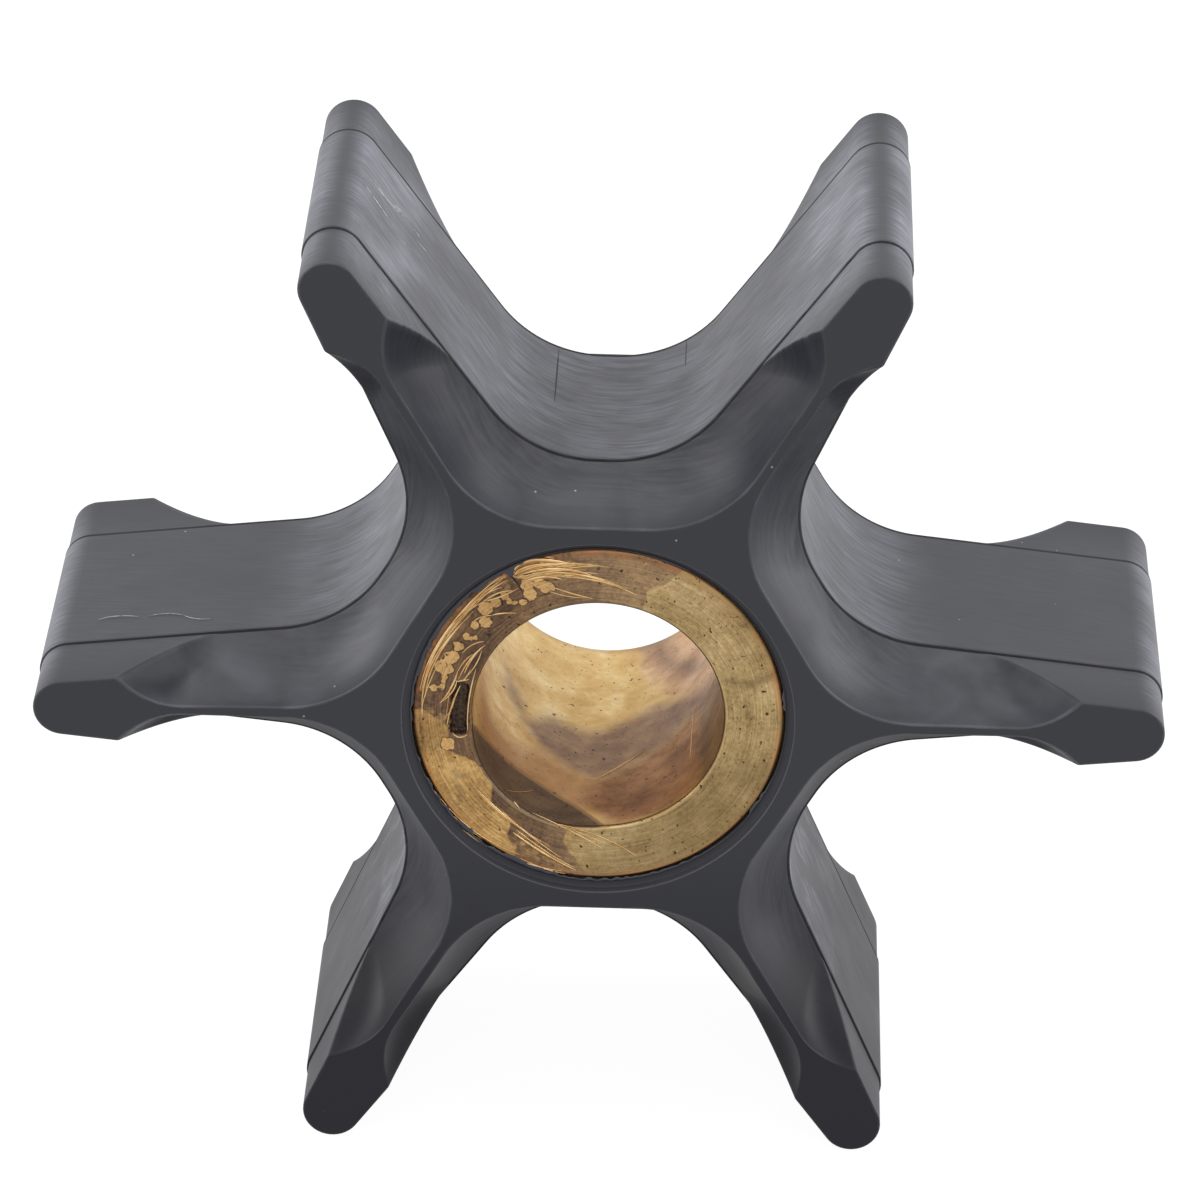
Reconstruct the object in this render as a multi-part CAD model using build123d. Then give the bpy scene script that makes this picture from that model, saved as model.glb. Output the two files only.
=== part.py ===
from build123d import *
import os
from math import asin, cos, degrees, hypot, radians, sin, sqrt, tan

# Flexible rubber pump impeller: a six-vane rubber star bonded round a brass bush.
#
# Millimetres and degrees. The bore axis is Y, the front face looks along -Y and Z is up. The origin is on
# the bore axis, half way through the width. At rest the part stands on the tips of its two lower vanes.
#
# Each outline is drawn in the XY plane about Z, with one vane along +X, and the finished piece is turned
# about X, which puts the drawn +Z end at the front.

# Rubber star, overall
VANE_COUNT = 6
TIP_RADIUS = 33.0  # bore axis to vane tip
STAR_WIDTH = 23.8  # along the bore axis
BAND_WIDTH = 14.4  # full-section band between the two parting lines
PARTING_STEP = 0.1  # how far the band stands proud of the two end zones

# Vane section, the same through the whole width outside the scoops
HEAD_CORNER_RADIUS = 28.0  # bore axis to the two corners under the vane head
HEAD_THICKNESS = 4.2  # across those corners
FLANK_TAPER = 6.15  # slope of each flank to the vane's middle plane
VALLEY_RADIUS = 14.53  # bore axis to the floor between two vanes
VALLEY_FLAT = 0.8  # flat at the middle of that floor

# Scooped section at the two end faces
FACE_VALLEY_RADIUS = 12.52
FACE_VALLEY_FLAT = 5.4
WEB_STATION = 24.1  # bore axis to the thinnest place of the web
WEB_THICKNESS = 0.62  # there
WEB_TAPER = 0.6  # slope of each side of the web, which thickens towards the hub
SCOOP_MERGE_RADIUS = 22.3  # where the scoop's slanting edge runs into the parting line
SCOOP_BLEND = 0.88  # where the scoop starts to leave the flank there, between the valley's arc and the merge
SCOOP_EDGE_CURVE = 0.65  # below 1, the slanting edge bends towards the parting line
HEAD_CURVE_BIAS = 0.55  # place of the bend under the head, as a share of its run
SCOOP_STATIONS = 6  # spans between the sections that each scooped end is lofted through

# Brass bush
BUSH_RADIUS = 10.9
BORE_RADIUS = 7.33
BUSH_RECESS = 0.6  # how far the bush's faces lie below the rubber's
RECESS_LEDGE = 0.5  # rubber ledge round the bush at the recess floor
BUSH_RIM_CHAMFER = 0.25
BORE_CHAMFER = 0.15

# Crescent worn into the front mouth of the bore by the shaft
WEAR_RADIUS = 6.6
WEAR_DEPTH = 3.75  # along the bore
WEAR_BITE = 0.35  # into the wall, at the face
WEAR_ANGLE = -130.0  # about the bore, from +X towards +Z

# Gouge in the front face, beside the mouth
GOUGE_LENGTH = 3.4
GOUGE_WIDTH = 1.1
GOUGE_DEPTH = 0.5
GOUGE_ANGLE = 178.0
GOUGE_LIP = 0.2  # brass left between the gouge and the bore's chamfer

HALF_WIDTH = STAR_WIDTH / 2
HALF_BAND = BAND_WIDTH / 2
END_ZONE = HALF_WIDTH - HALF_BAND
HALF_PITCH = radians(180 / VANE_COUNT)
BUSH_HALF_LENGTH = HALF_WIDTH - BUSH_RECESS


def turned(radial, across, vane):
    """A point given along and across one vane, as a point of the drawing plane."""
    angle = 2 * HALF_PITCH * vane
    return Vector(
        radial * cos(angle) - across * sin(angle),
        radial * sin(angle) + across * cos(angle),
    )


def mix(start, end, share):
    """The value that lies `share` of the way from start to end."""
    return start + share * (end - start)


class Side:
    """A straight side of a vane. Half the thickness is `at_axis`, less `slope` a millimetre outwards."""

    def __init__(self, at_axis, slope):
        self.at_axis = at_axis
        self.slope = slope
        self.stretch = hypot(1, slope)

    def half(self, radial):
        return self.at_axis - self.slope * radial


def tapered_side(thickness, station, taper):
    """The side of a vane that is `thickness` thick at one station and leans in by `taper` degrees."""
    slope = tan(radians(taper))
    return Side(thickness / 2 + slope * station, slope)


class Valley:
    """The hollow between two vanes: a flat floor square to the radius, and an arc to each vane's side.

    Its points are given along and across the vane that the arc meets.
    """

    def __init__(self, floor, flat, side):
        half_flat = flat / 2
        lean = sin(HALF_PITCH) + side.slope * cos(HALF_PITCH)
        spread = cos(HALF_PITCH) - side.slope * sin(HALF_PITCH)
        self.arc = (floor * lean - side.at_axis - half_flat * spread) / (side.stretch - lean)
        height = floor + self.arc
        centre_r = height * cos(HALF_PITCH) + half_flat * sin(HALF_PITCH)
        centre_t = height * sin(HALF_PITCH) - half_flat * cos(HALF_PITCH)
        to_floor = (-cos(HALF_PITCH), -sin(HALF_PITCH))
        to_side = (-side.slope / side.stretch, -1 / side.stretch)
        middle = (to_floor[0] + to_side[0], to_floor[1] + to_side[1])
        reach = self.arc / hypot(*middle)
        self.floor_end = (centre_r + self.arc * to_floor[0], centre_t + self.arc * to_floor[1])
        self.arc_middle = (centre_r + reach * middle[0], centre_t + reach * middle[1])
        self.arc_end = (centre_r + self.arc * to_side[0], centre_t + self.arc * to_side[1])


class Tip:
    """The full round at a vane's end, tangent to both flanks, whose furthest point is at `reach`."""

    def __init__(self, reach, flank):
        self.radius = flank.half(reach) / (flank.stretch - flank.slope)
        self.reach = reach
        lift = self.radius / flank.stretch
        self.start = (reach - self.radius + lift * flank.slope, lift)


def tip_and_floor(tip, valley, vane):
    """The round at one vane's tip, and the flat valley floor between that vane and the next."""
    tip_r, tip_t = tip.start
    floor_r, floor_t = valley.floor_end
    across_tip = [turned(tip_r, -tip_t, vane), turned(tip.reach, 0, vane), turned(tip_r, tip_t, vane)]
    return [
        ThreePointArc(*across_tip),
        Line(turned(floor_r, floor_t, vane), turned(floor_r, -floor_t, vane + 1)),
    ]


def band_outline():
    """Closed outline of the full-section band: tip round, flank, valley, flank, over and over."""
    flank = tapered_side(HEAD_THICKNESS + 2 * PARTING_STEP, HEAD_CORNER_RADIUS, FLANK_TAPER)
    valley = Valley(VALLEY_RADIUS + PARTING_STEP, VALLEY_FLAT, flank)
    tip = Tip(TIP_RADIUS, flank)
    edges = []
    for vane in range(VANE_COUNT):
        for side in (-1, 1):
            ends = [turned(r, side * t, vane) for r, t in (valley.arc_end, tip.start)]
            bend = [valley.floor_end, valley.arc_middle, valley.arc_end]
            edges.append(Line(*ends))
            edges.append(ThreePointArc(*[turned(r, side * t, vane) for r, t in bend]))
        edges += tip_and_floor(tip, valley, vane)
    return Wire(edges)


def scoop_outline(rise):
    """Closed outline of an end zone, `rise` millimetres in from its end face.

    The scoop's floor is an arc along the bore axis that leaves the end face square to it and reaches the
    band's section at the parting line. The scoop's edge on the flank slants from the head corner to the
    same line.
    """
    flank = tapered_side(HEAD_THICKNESS, HEAD_CORNER_RADIUS, FLANK_TAPER)
    web = tapered_side(WEB_THICKNESS, WEB_STATION, WEB_TAPER)
    drop = VALLEY_RADIUS - FACE_VALLEY_RADIUS
    cove = (END_ZONE**2 + drop**2) / (2 * drop)
    share = (cove - sqrt(cove**2 - rise**2)) / drop
    edge_share = (1 - rise / END_ZONE) ** SCOOP_EDGE_CURVE
    waist = Side(mix(web.at_axis, flank.at_axis, share), mix(web.slope, flank.slope, share))
    floor = mix(FACE_VALLEY_RADIUS, VALLEY_RADIUS, share)
    valley = Valley(floor, mix(FACE_VALLEY_FLAT, VALLEY_FLAT, share), waist)
    tip = Tip(TIP_RADIUS - PARTING_STEP, flank)
    edge_r = mix(SCOOP_MERGE_RADIUS, HEAD_CORNER_RADIUS, edge_share)
    line_valley = Valley(VALLEY_RADIUS, VALLEY_FLAT, flank)
    line_blend_r = mix(line_valley.arc_end[0], SCOOP_MERGE_RADIUS, SCOOP_BLEND)
    blend_r = mix(WEB_STATION, line_blend_r, share)
    bend_r = mix(blend_r, edge_r, HEAD_CURVE_BIAS)
    blend = (blend_r, waist.half(blend_r))
    bend = (bend_r, waist.half(bend_r))
    edge = (edge_r, flank.half(edge_r))
    edges = []
    for vane in range(VANE_COUNT):
        for side in (-1, 1):
            corner = [valley.floor_end, valley.arc_middle, valley.arc_end]
            arc = [turned(r, side * t, vane) for r, t in corner]
            under_head = [turned(r, side * t, vane) for r, t in (blend, bend, edge)]
            tip_start = turned(tip.start[0], side * tip.start[1], vane)
            edges.append(ThreePointArc(*arc))
            edges.append(Line(arc[2], under_head[0]))
            edges.append(Bezier(*under_head))
            edges.append(Line(under_head[2], tip_start))
        edges += tip_and_floor(tip, valley, vane)
    return Wire(edges)


def scooped_end():
    """One end zone, from the parting line to the end face, lofted through sections that crowd at the line."""
    sections = []
    for step in range(SCOOP_STATIONS + 1):
        rise = END_ZONE * sin(radians(90 * step / SCOOP_STATIONS))
        sections.append(scoop_outline(rise).moved(Location((0, 0, HALF_WIDTH - rise))))
    return Solid.make_loft(sections)


def make_rubber():
    band = extrude(Face(band_outline()), HALF_BAND, both=True)
    front = scooped_end()
    star = band + front + front.mirror(Plane.XY)
    star -= Cylinder(BUSH_RADIUS, STAR_WIDTH)
    ledge = Cylinder(BUSH_RADIUS + RECESS_LEDGE, BUSH_RECESS)
    for way in (-1, 1):
        star -= Pos(0, 0, way * (HALF_WIDTH - BUSH_RECESS / 2)) * ledge
    return star


def make_bush():
    half = BUSH_HALF_LENGTH
    rim, mouth = BUSH_RIM_CHAMFER, BORE_CHAMFER
    section = Polyline(
        (BORE_RADIUS, 0, mouth - half),
        (BORE_RADIUS + mouth, 0, -half),
        (BUSH_RADIUS - rim, 0, -half),
        (BUSH_RADIUS, 0, rim - half),
        (BUSH_RADIUS, 0, half - rim),
        (BUSH_RADIUS - rim, 0, half),
        (BORE_RADIUS + mouth, 0, half),
        (BORE_RADIUS, 0, half - mouth),
        close=True,
    )
    bush = revolve(Face(Wire(section.edges())), Axis.Z)
    shift = BORE_RADIUS + WEAR_BITE - WEAR_RADIUS
    lean = degrees(asin(WEAR_BITE / WEAR_DEPTH))
    mouth_place = Rot(0, 0, WEAR_ANGLE) * Pos(shift, 0, half) * Rot(0, lean, 0)
    bush -= mouth_place * Cylinder(WEAR_RADIUS, 2 * WEAR_DEPTH)
    gouge = SlotOverall(GOUGE_LENGTH, GOUGE_WIDTH, rotation=90)
    place = BORE_RADIUS + BORE_CHAMFER + GOUGE_LIP + GOUGE_WIDTH / 2
    bush -= Rot(0, 0, GOUGE_ANGLE) * Pos(place, 0, half - GOUGE_DEPTH) * extrude(gouge, 2 * GOUGE_DEPTH)
    return bush


os.makedirs("parts", exist_ok=True)
STAND_UP = Rot(90, 0, 0)
export_step(STAND_UP * make_rubber(), "parts/impeller_rubber.step")
export_step(STAND_UP * make_bush(), "parts/hub_bush.step")
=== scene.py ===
"""Flexible rubber pump impeller: a moulded star of six vanes bonded round a turned brass bush.

Metres. The bore axis is Y, the front face looks along -Y and Z is up. Shapes are worked out in the plane of
the front face, with x to the right and z up, and with an axial value that is 0 half way through the width
and positive towards the front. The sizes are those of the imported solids.
"""

import math

import bmesh
import bpy
import numpy as np
from bpy.props import FloatProperty, FloatVectorProperty, IntProperty, PointerProperty
from mathutils import Matrix, Vector


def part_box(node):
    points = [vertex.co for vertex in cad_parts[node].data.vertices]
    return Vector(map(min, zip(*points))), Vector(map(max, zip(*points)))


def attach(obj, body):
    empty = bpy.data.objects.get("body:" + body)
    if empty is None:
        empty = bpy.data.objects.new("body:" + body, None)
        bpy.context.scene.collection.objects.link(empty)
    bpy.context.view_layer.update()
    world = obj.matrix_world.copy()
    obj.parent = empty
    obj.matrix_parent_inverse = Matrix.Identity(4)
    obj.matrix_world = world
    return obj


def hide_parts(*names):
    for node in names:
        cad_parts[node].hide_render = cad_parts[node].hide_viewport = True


bl_info = {
    "name": "Rubber Pump Impeller",
    "version": (1, 0, 0),
    "blender": (4, 5, 0),
    "location": "View3D > Sidebar > Impeller",
    "description": "Builds a used six-vane rubber pump impeller with a brass bush",
    "category": "Object",
}

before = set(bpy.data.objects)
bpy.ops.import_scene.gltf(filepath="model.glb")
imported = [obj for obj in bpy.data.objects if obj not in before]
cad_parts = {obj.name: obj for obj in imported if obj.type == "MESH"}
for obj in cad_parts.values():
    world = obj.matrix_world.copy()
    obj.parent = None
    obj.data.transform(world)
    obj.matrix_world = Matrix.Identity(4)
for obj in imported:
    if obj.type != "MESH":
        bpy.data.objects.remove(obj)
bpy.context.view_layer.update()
STAR_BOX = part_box("impeller_rubber")
BUSH_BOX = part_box("hub_bush")
MM = 0.001
TAU = 2 * math.pi


def colour(code):
    """An sRGB hex colour as linear red, green, blue and an alpha of 1."""
    values = np.array([int(code[i : i + 2], 16) for i in (1, 3, 5)]) / 255
    linear = np.where(values <= 0.04045, values / 12.92, ((values + 0.055) / 1.055) ** 2.4)
    return (*linear.tolist(), 1.0)


def number(name, description, default, **limits):
    """A plain number that a user may change, within its limits."""
    return FloatProperty(name=name, description=description, default=default, **limits)


def length(name, description, default):
    """A size in metres that a user may change."""
    return number(name, description, default, min=0, subtype="DISTANCE", unit="LENGTH")


def angle(name, description, default):
    """An angle that a user may change, given in degrees."""
    return number(name, description, math.radians(default), subtype="ANGLE", unit="ROTATION")


def tint(name, description, code):
    """A colour that a user may change."""
    looks = {"size": 4, "min": 0, "max": 1, "subtype": "COLOR"}
    return FloatVectorProperty(name=name, description=description, default=colour(code), **looks)


class StarSettings(bpy.types.PropertyGroup):
    """Sizes and colours of the moulded star."""

    vanes: IntProperty(name="Vanes", description="Number of vanes", default=6, min=3)
    tip_radius: length("Tip radius", "Bore axis to vane tip", STAR_BOX[1].x)
    width: length("Width", "Size along the bore axis", STAR_BOX[1].y - STAR_BOX[0].y)
    band_width: length("Band width", "Full-section band between the parting lines", 14.4 * MM)
    step: length("Parting step", "How far the band stands proud of the end zones", 0.1 * MM)
    corner_radius: length("Head corner radius", "Bore axis to the corners under the vane head", 28.0 * MM)
    head_thickness: length("Head thickness", "Across those corners", 4.2 * MM)
    flank_taper: angle("Flank taper", "Slope of each flank to the vane's middle plane", 6.15)
    valley_radius: length("Valley radius", "Bore axis to the floor between two vanes", 14.53 * MM)
    valley_flat: length("Valley flat", "Flat at the middle of that floor", 0.8 * MM)
    face_valley_radius: length("Face valley radius", "The same floor at the end faces", 12.52 * MM)
    face_valley_flat: length("Face valley flat", "Flat at the middle of that floor", 5.4 * MM)
    web_station: length("Web station", "Bore axis to the thinnest place of the web", 24.1 * MM)
    web_thickness: length("Web thickness", "Thickness there", 0.62 * MM)
    web_taper: angle("Web taper", "Slope of each side of the web", 0.6)
    merge_radius: length("Scoop merge radius", "Where the scoop's edge meets the parting line", 22.3 * MM)
    blend: number("Scoop blend", "Where the scoop leaves the flank", 0.88, max=1)
    edge_curve: number("Scoop edge curve", "Below 1 bends the scoop's edge", 0.65, min=0.1)
    head_bias: number("Head bias", "Place of the bend under the head", 0.55, min=0)
    ledge_radius: length("Ledge radius", "Recess round the bush", 11.4 * MM)
    edge_round: length("Edge rounding", "Radius of the moulded edges at the end faces", 0.14 * MM)
    black: tint("Black", "Unmarked rubber", "#202129")
    grey: tint("Grey", "Rubbed rubber", "#74757e")


class BushSettings(bpy.types.PropertyGroup):
    """Sizes and colours of the turned bush."""

    radius: length("Radius", "Outside of the bush", BUSH_BOX[1].x)
    half_length: length("Half length", "Middle to end face", BUSH_BOX[1].y)
    bore: length("Bore radius", "Inside of the bush", 7.33 * MM)
    rim_chamfer: length("Rim chamfer", "At the outer edges", 0.25 * MM)
    bore_chamfer: length("Bore chamfer", "At the mouths", 0.15 * MM)
    wear_radius: length("Wear radius", "Radius of the crescent worn into the mouth", 6.6 * MM)
    wear_depth: length("Wear depth", "Length of that crescent along the bore", 3.75 * MM)
    wear_bite: length("Wear bite", "Depth of that crescent into the wall", 0.35 * MM)
    wear_angle: angle("Wear angle", "Place of the crescent about the bore", -130)
    rust: tint("Rust", "Copper-red oxide along the rim", "#9c5f34")
    grime: tint("Grime", "Dried dirt in the gouge, the cracks and the pits", "#1f1814")


class StageSettings(bpy.types.PropertyGroup):
    """Camera and light."""

    distance: length("Distance", "Camera to the object's middle", 382.5 * MM)
    azimuth: angle("Azimuth", "Camera round the object", 1.27)
    elevation: angle("Elevation", "Camera above the horizon", 27.07)
    roll: angle("Roll", "Camera about its own axis", 0.96)
    lens: number("Lens", "Focal length in mm on a 36 mm sensor", 192.15, min=1)


class ImpellerSettings(bpy.types.PropertyGroup):
    """Everything that can be changed about the impeller."""

    star: PointerProperty(type=StarSettings)
    bush: PointerProperty(type=BushSettings)
    stage: PointerProperty(type=StageSettings)


# ---------------------------------------------------------------- shapes


def mix(start, end, share):
    """The value that lies `share` of the way from start to end."""
    return start + share * (end - start)


def smooth(value):
    """0 below 0, 1 above 1, and an S-curve between them."""
    t = np.clip(value, 0, 1)
    return t * t * (3 - 2 * t)


def between(value, low, high):
    """0 on low's side, 1 on high's side, and an S-curve from low to high, whichever is the larger."""
    return smooth((value - low) / (high - low))


def polar(radius, turn):
    """Plane points at a radius and an angle."""
    return np.stack([radius * np.cos(turn), radius * np.sin(turn)], -1)


def turned(points, turn):
    """Plane points rotated about the bore axis."""
    x, z = points[..., 0], points[..., 1]
    return np.stack([x * np.cos(turn) - z * np.sin(turn), x * np.sin(turn) + z * np.cos(turn)], -1)


def standing(plane, axial):
    """Plane points at their axial values, as points of the frame."""
    axial = np.broadcast_to(axial, plane.shape[:-1])
    return np.stack([plane[..., 0], -axial, plane[..., 1]], -1)


def closed_grid(points, u, v):
    """Quads of a grid of points that closes on itself along its columns, and the UV of their corners.

    points is rows by columns by 3, u has a value for each column and one for the first column come round
    again, and v has a value for each row.
    """
    rows, columns = points.shape[:2]
    index = np.arange(rows * columns).reshape(rows, columns)
    after = np.roll(index, -1, axis=1)
    quads = np.stack([index[:-1], after[:-1], after[1:], index[1:]], -1).reshape(-1, 4)
    near, far = np.meshgrid(u[:-1], v[:-1]), np.meshgrid(u[1:], v[1:])
    corners = [(near[0], near[1]), (far[0], near[1]), (far[0], far[1]), (near[0], far[1])]
    uv = np.stack([np.stack(corner, -1) for corner in corners], 2).reshape(-1, 2)
    return points.reshape(-1, 3), quads, uv


def piece(name, parts, marks, material, body="root"):
    """A finished mesh object from grids of quads, with its doubles merged and its faces turned outwards.

    parts is a list of (points, quads, corner UVs), and marks gives each named vertex attribute as one array
    over all the parts' points.
    """
    starts = np.cumsum([0] + [len(p[0]) for p in parts])
    points = np.concatenate([p[0] for p in parts])
    quads = np.concatenate([p[1] + start for p, start in zip(parts, starts)])
    mesh = bpy.data.meshes.new(name)
    mesh.vertices.add(len(points))
    mesh.vertices.foreach_set("co", points.ravel())
    mesh.loops.add(quads.size)
    mesh.loops.foreach_set("vertex_index", quads.ravel())
    mesh.polygons.add(len(quads))
    mesh.polygons.foreach_set("loop_start", np.arange(0, quads.size, 4))
    mesh.update(calc_edges=True)
    skin = np.concatenate([p[2] for p in parts])
    mesh.uv_layers.new(name="Skin").uv.foreach_set("vector", skin.ravel())
    for key, values in marks.items():
        mark = mesh.attributes.new(key, "FLOAT", "POINT")
        mark.data.foreach_set("value", values.astype(np.float32).ravel())
    work = bmesh.new()
    work.from_mesh(mesh)
    bmesh.ops.remove_doubles(work, verts=work.verts, dist=1e-7)
    bmesh.ops.recalc_face_normals(work, faces=work.faces)
    work.to_mesh(mesh)
    work.free()
    mesh.polygons.foreach_set("use_smooth", np.ones(len(mesh.polygons), bool))
    mesh.materials.append(material)
    made = bpy.data.objects.new(name, mesh)
    bpy.context.scene.collection.objects.link(made)
    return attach(made, body)


# ---------------------------------------------------------------- star

# Steps along each span of half a vane's outline
SPANS = {"floor": 4, "arc": 20, "side": 12, "head": 14, "corner": 4, "flank": 14, "tip": 10}
HALF_POINTS = sum(SPANS.values()) + 1
# Run of the round between the scoop and the flank
CORNER_ROUND = 0.13 * MM
# How far two tired vanes lean round the axis at their tips: the vane's angle and the lean, in degrees
DROOP = {0: 0.03, 180: 0.2}
# Rows of the skin over the rounded edge, the scoops and half of the band
ROUND_STEPS, SCOOP_STEPS, BAND_STEPS = 5, 20, 6
# Gaps from the rounded edge and from the parting line to the next row, and from the corner painted lighter
# to it
EDGE_GAP, BAND_GAP, CORNER_GAP = 0.02 * MM, 0.4 * MM, 0.05 * MM
# Shares of the way across an end face, and the skin's V at the rear and the front of the walls
FACE_SHARES = (0, 0.02, 0.3, 0.65, 1)
WALL_SKIN = (0.1, 0.9)
# The recess round the bush: its lip's round, and its radius and depth behind the end face in millimetres
LEDGE_ROUND = 0.09 * MM
LEDGE_PROFILE = (
    (11.49, 0.0), (11.445, 0.012), (11.412, 0.045), (11.4, 0.09), (11.4, 0.56), (11.37, 0.6),
    (10.95, 0.6), (10.9, 0.62), (10.9, 2.0),
)
# Painted light and painted shade at each point of the ledge: how much lighter and how much darker it is
# painted
LEDGE_PAINTED_LIGHT_AND_SHADE = ((0, 0.4, 0.8, 0.5, 0.22, 0.1, 0, 0, 0), (0, 0, 0, 0, 0, 0.1, 0.2, 0.6, 0))
# The parting line from the end zone to the band: place across it and lift, in millimetres, and the depth of
# painted shade at the front and at the rear, where it runs on over the band's edge
GROOVE = (
    (-0.06, 0.0, 0.0, 0.0),
    (-0.01, -0.04, 0.9, 1.0),
    (0.04, -0.04, 0.9, 1.0),
    (0.05, 0.06, 0.75, 1.0),
    (0.09, 0.1, 0.2, 1.0),
    (0.28, 0.1, 0.0, 1.0),
    (0.38, 0.1, 0.0, 0.0),
)


def shares(name):
    """Even shares of one span of the outline, without its far end."""
    return np.arange(SPANS[name]) / SPANS[name]


def straight(start, end, share):
    """Points along the line from start to end, at every station."""
    return mix(start[:, None], end[:, None], share[:, None])


def bent(start, bend, end, share):
    """Points along the parabola that leaves start towards bend and reaches end from it."""
    return straight(start, bend, share) * (1 - share[:, None]) + straight(bend, end, share) * share[:, None]


def half_outline(size, rise, proud):
    """Half of one vane's outline at every station, from the middle of the valley floor to the tip.

    Points are (along the vane, across it). The valley is a flat floor square to the radius and an arc
    tangent to it and to the vane's side. The side runs straight to the scoop's blend, a parabola climbs
    from there to the corner under the head, and the flank runs straight from the corner to the full round
    of the tip. `rise` is the distance in from the end face: the valley, the side and the corner move with
    it from the scooped section at the face to the plain section at the parting line. `proud` moves floor,
    flank and tip outwards.
    """
    pitch = math.pi / size.vanes
    zone = (size.width - size.band_width) / 2
    drop = size.valley_radius - size.face_valley_radius
    cove = (zone**2 + drop**2) / (2 * drop)
    share = (cove - np.sqrt(cove**2 - rise**2)) / drop
    edge_share = np.clip(1 - rise / zone, 0, 1) ** size.edge_curve
    slope = math.tan(size.flank_taper)
    web_slope = math.tan(size.web_taper)
    plain = size.head_thickness / 2 + slope * size.corner_radius
    flank = plain + proud
    side = mix(size.web_thickness / 2 + web_slope * size.web_station, flank, share)
    side_slope = mix(web_slope, slope, share)

    stretch = np.hypot(1, side_slope)
    lean = math.sin(pitch) + side_slope * math.cos(pitch)
    spread = math.cos(pitch) - side_slope * math.sin(pitch)
    half_flat = mix(size.face_valley_flat, size.valley_flat, share) / 2
    floor = mix(size.face_valley_radius, size.valley_radius, share) + proud
    arc = (floor * lean - side - half_flat * spread) / (stretch - lean)
    middle = polar(floor, pitch)
    floor_end = middle + half_flat[:, None] * np.array([math.sin(pitch), -math.cos(pitch)])
    centre = floor_end + polar(arc, pitch)
    sweep = mix(math.pi + pitch, 1.5 * math.pi - np.arctan(side_slope)[:, None], shares("arc"))
    arc_end = centre + polar(arc, 1.5 * math.pi - np.arctan(side_slope))

    line_lean = math.sin(pitch) + slope * math.cos(pitch)
    line_spread = (math.cos(pitch) - slope * math.sin(pitch)) * size.valley_flat / 2
    line_arc = (size.valley_radius * line_lean - plain - line_spread) / (math.hypot(1, slope) - line_lean)
    line_end = (size.valley_radius + line_arc) * math.cos(pitch) + size.valley_flat / 2 * math.sin(pitch)
    line_end -= line_arc * slope / math.hypot(1, slope)
    blend_r = mix(size.web_station, mix(line_end, size.merge_radius, size.blend), share)
    edge_r = mix(size.merge_radius, size.corner_radius, edge_share)
    bend_r = mix(blend_r, edge_r, size.head_bias)
    blend = np.stack([blend_r, side - side_slope * blend_r], -1)
    bend = np.stack([bend_r, side - side_slope * bend_r], -1)
    edge = np.stack([edge_r, flank - slope * edge_r], -1)
    climb = np.linalg.norm(edge - blend, axis=1)
    before = 1 - CORNER_ROUND / climb
    climbed = before[:, None, None] * np.append(shares("head"), 1)[None, :, None]
    head = blend[:, None] * (1 - climbed) ** 2 + 2 * bend[:, None] * climbed * (1 - climbed)
    head = head + edge[:, None] * climbed**2
    edge_end = edge + CORNER_ROUND * np.array([1, -slope]) / math.hypot(1, slope)

    reach = size.tip_radius - size.step + proud
    tip = (flank - slope * reach) / (math.hypot(1, slope) - slope)
    tip_centre = np.stack([reach - tip, np.zeros_like(tip)], -1)
    turn = math.pi / 2 - math.atan(slope)
    tip_start = tip_centre + polar(tip, turn)
    tip_sweep = turn * (1 - np.linspace(0, 1, SPANS["tip"] + 1))
    spans = [
        straight(middle, floor_end, shares("floor")),
        centre[:, None] + polar(arc[:, None], sweep),
        straight(arc_end, blend, shares("side")),
        head[:, :-1],
        bent(head[:, -1], edge, edge_end, shares("corner")),
        straight(edge_end, tip_start, shares("flank")),
        tip_centre[:, None] + polar(tip[:, None], tip_sweep),
    ]
    return np.concatenate(spans, axis=1)


def all_round(half, vanes):
    """A whole outline from half a vane's, mirrored over each vane and repeated round the axis.

    The second value is the angle of the vane that each point belongs to.
    """
    mirrored = half * np.array([1, -1])
    one = np.concatenate([mirrored, half[:, -2:0:-1]], axis=1)
    turns = np.repeat(np.arange(vanes) * TAU / vanes, one.shape[1])
    return turned(np.tile(one, (1, vanes, 1)), turns), turns


def inset(outline, amount):
    """A closed outline moved inwards along its own normals, by an amount for each station."""
    along = np.roll(outline, -1, axis=1) - np.roll(outline, 1, axis=1)
    along /= np.linalg.norm(along, axis=2, keepdims=True)
    return outline + amount[:, None, None] * np.stack([-along[..., 1], along[..., 0]], -1)


def drooped(plane, turns, size):
    """Vane points turned by their vane's droop, which grows from the root to the tip."""
    lean = np.zeros_like(turns)
    for degrees, value in DROOP.items():
        lean[np.isclose(turns, math.radians(degrees))] = math.radians(value)
    reach = np.linalg.norm(plane, axis=-1) - size.valley_radius
    return turned(plane, lean * smooth(reach / (size.tip_radius - size.valley_radius)))


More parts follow.
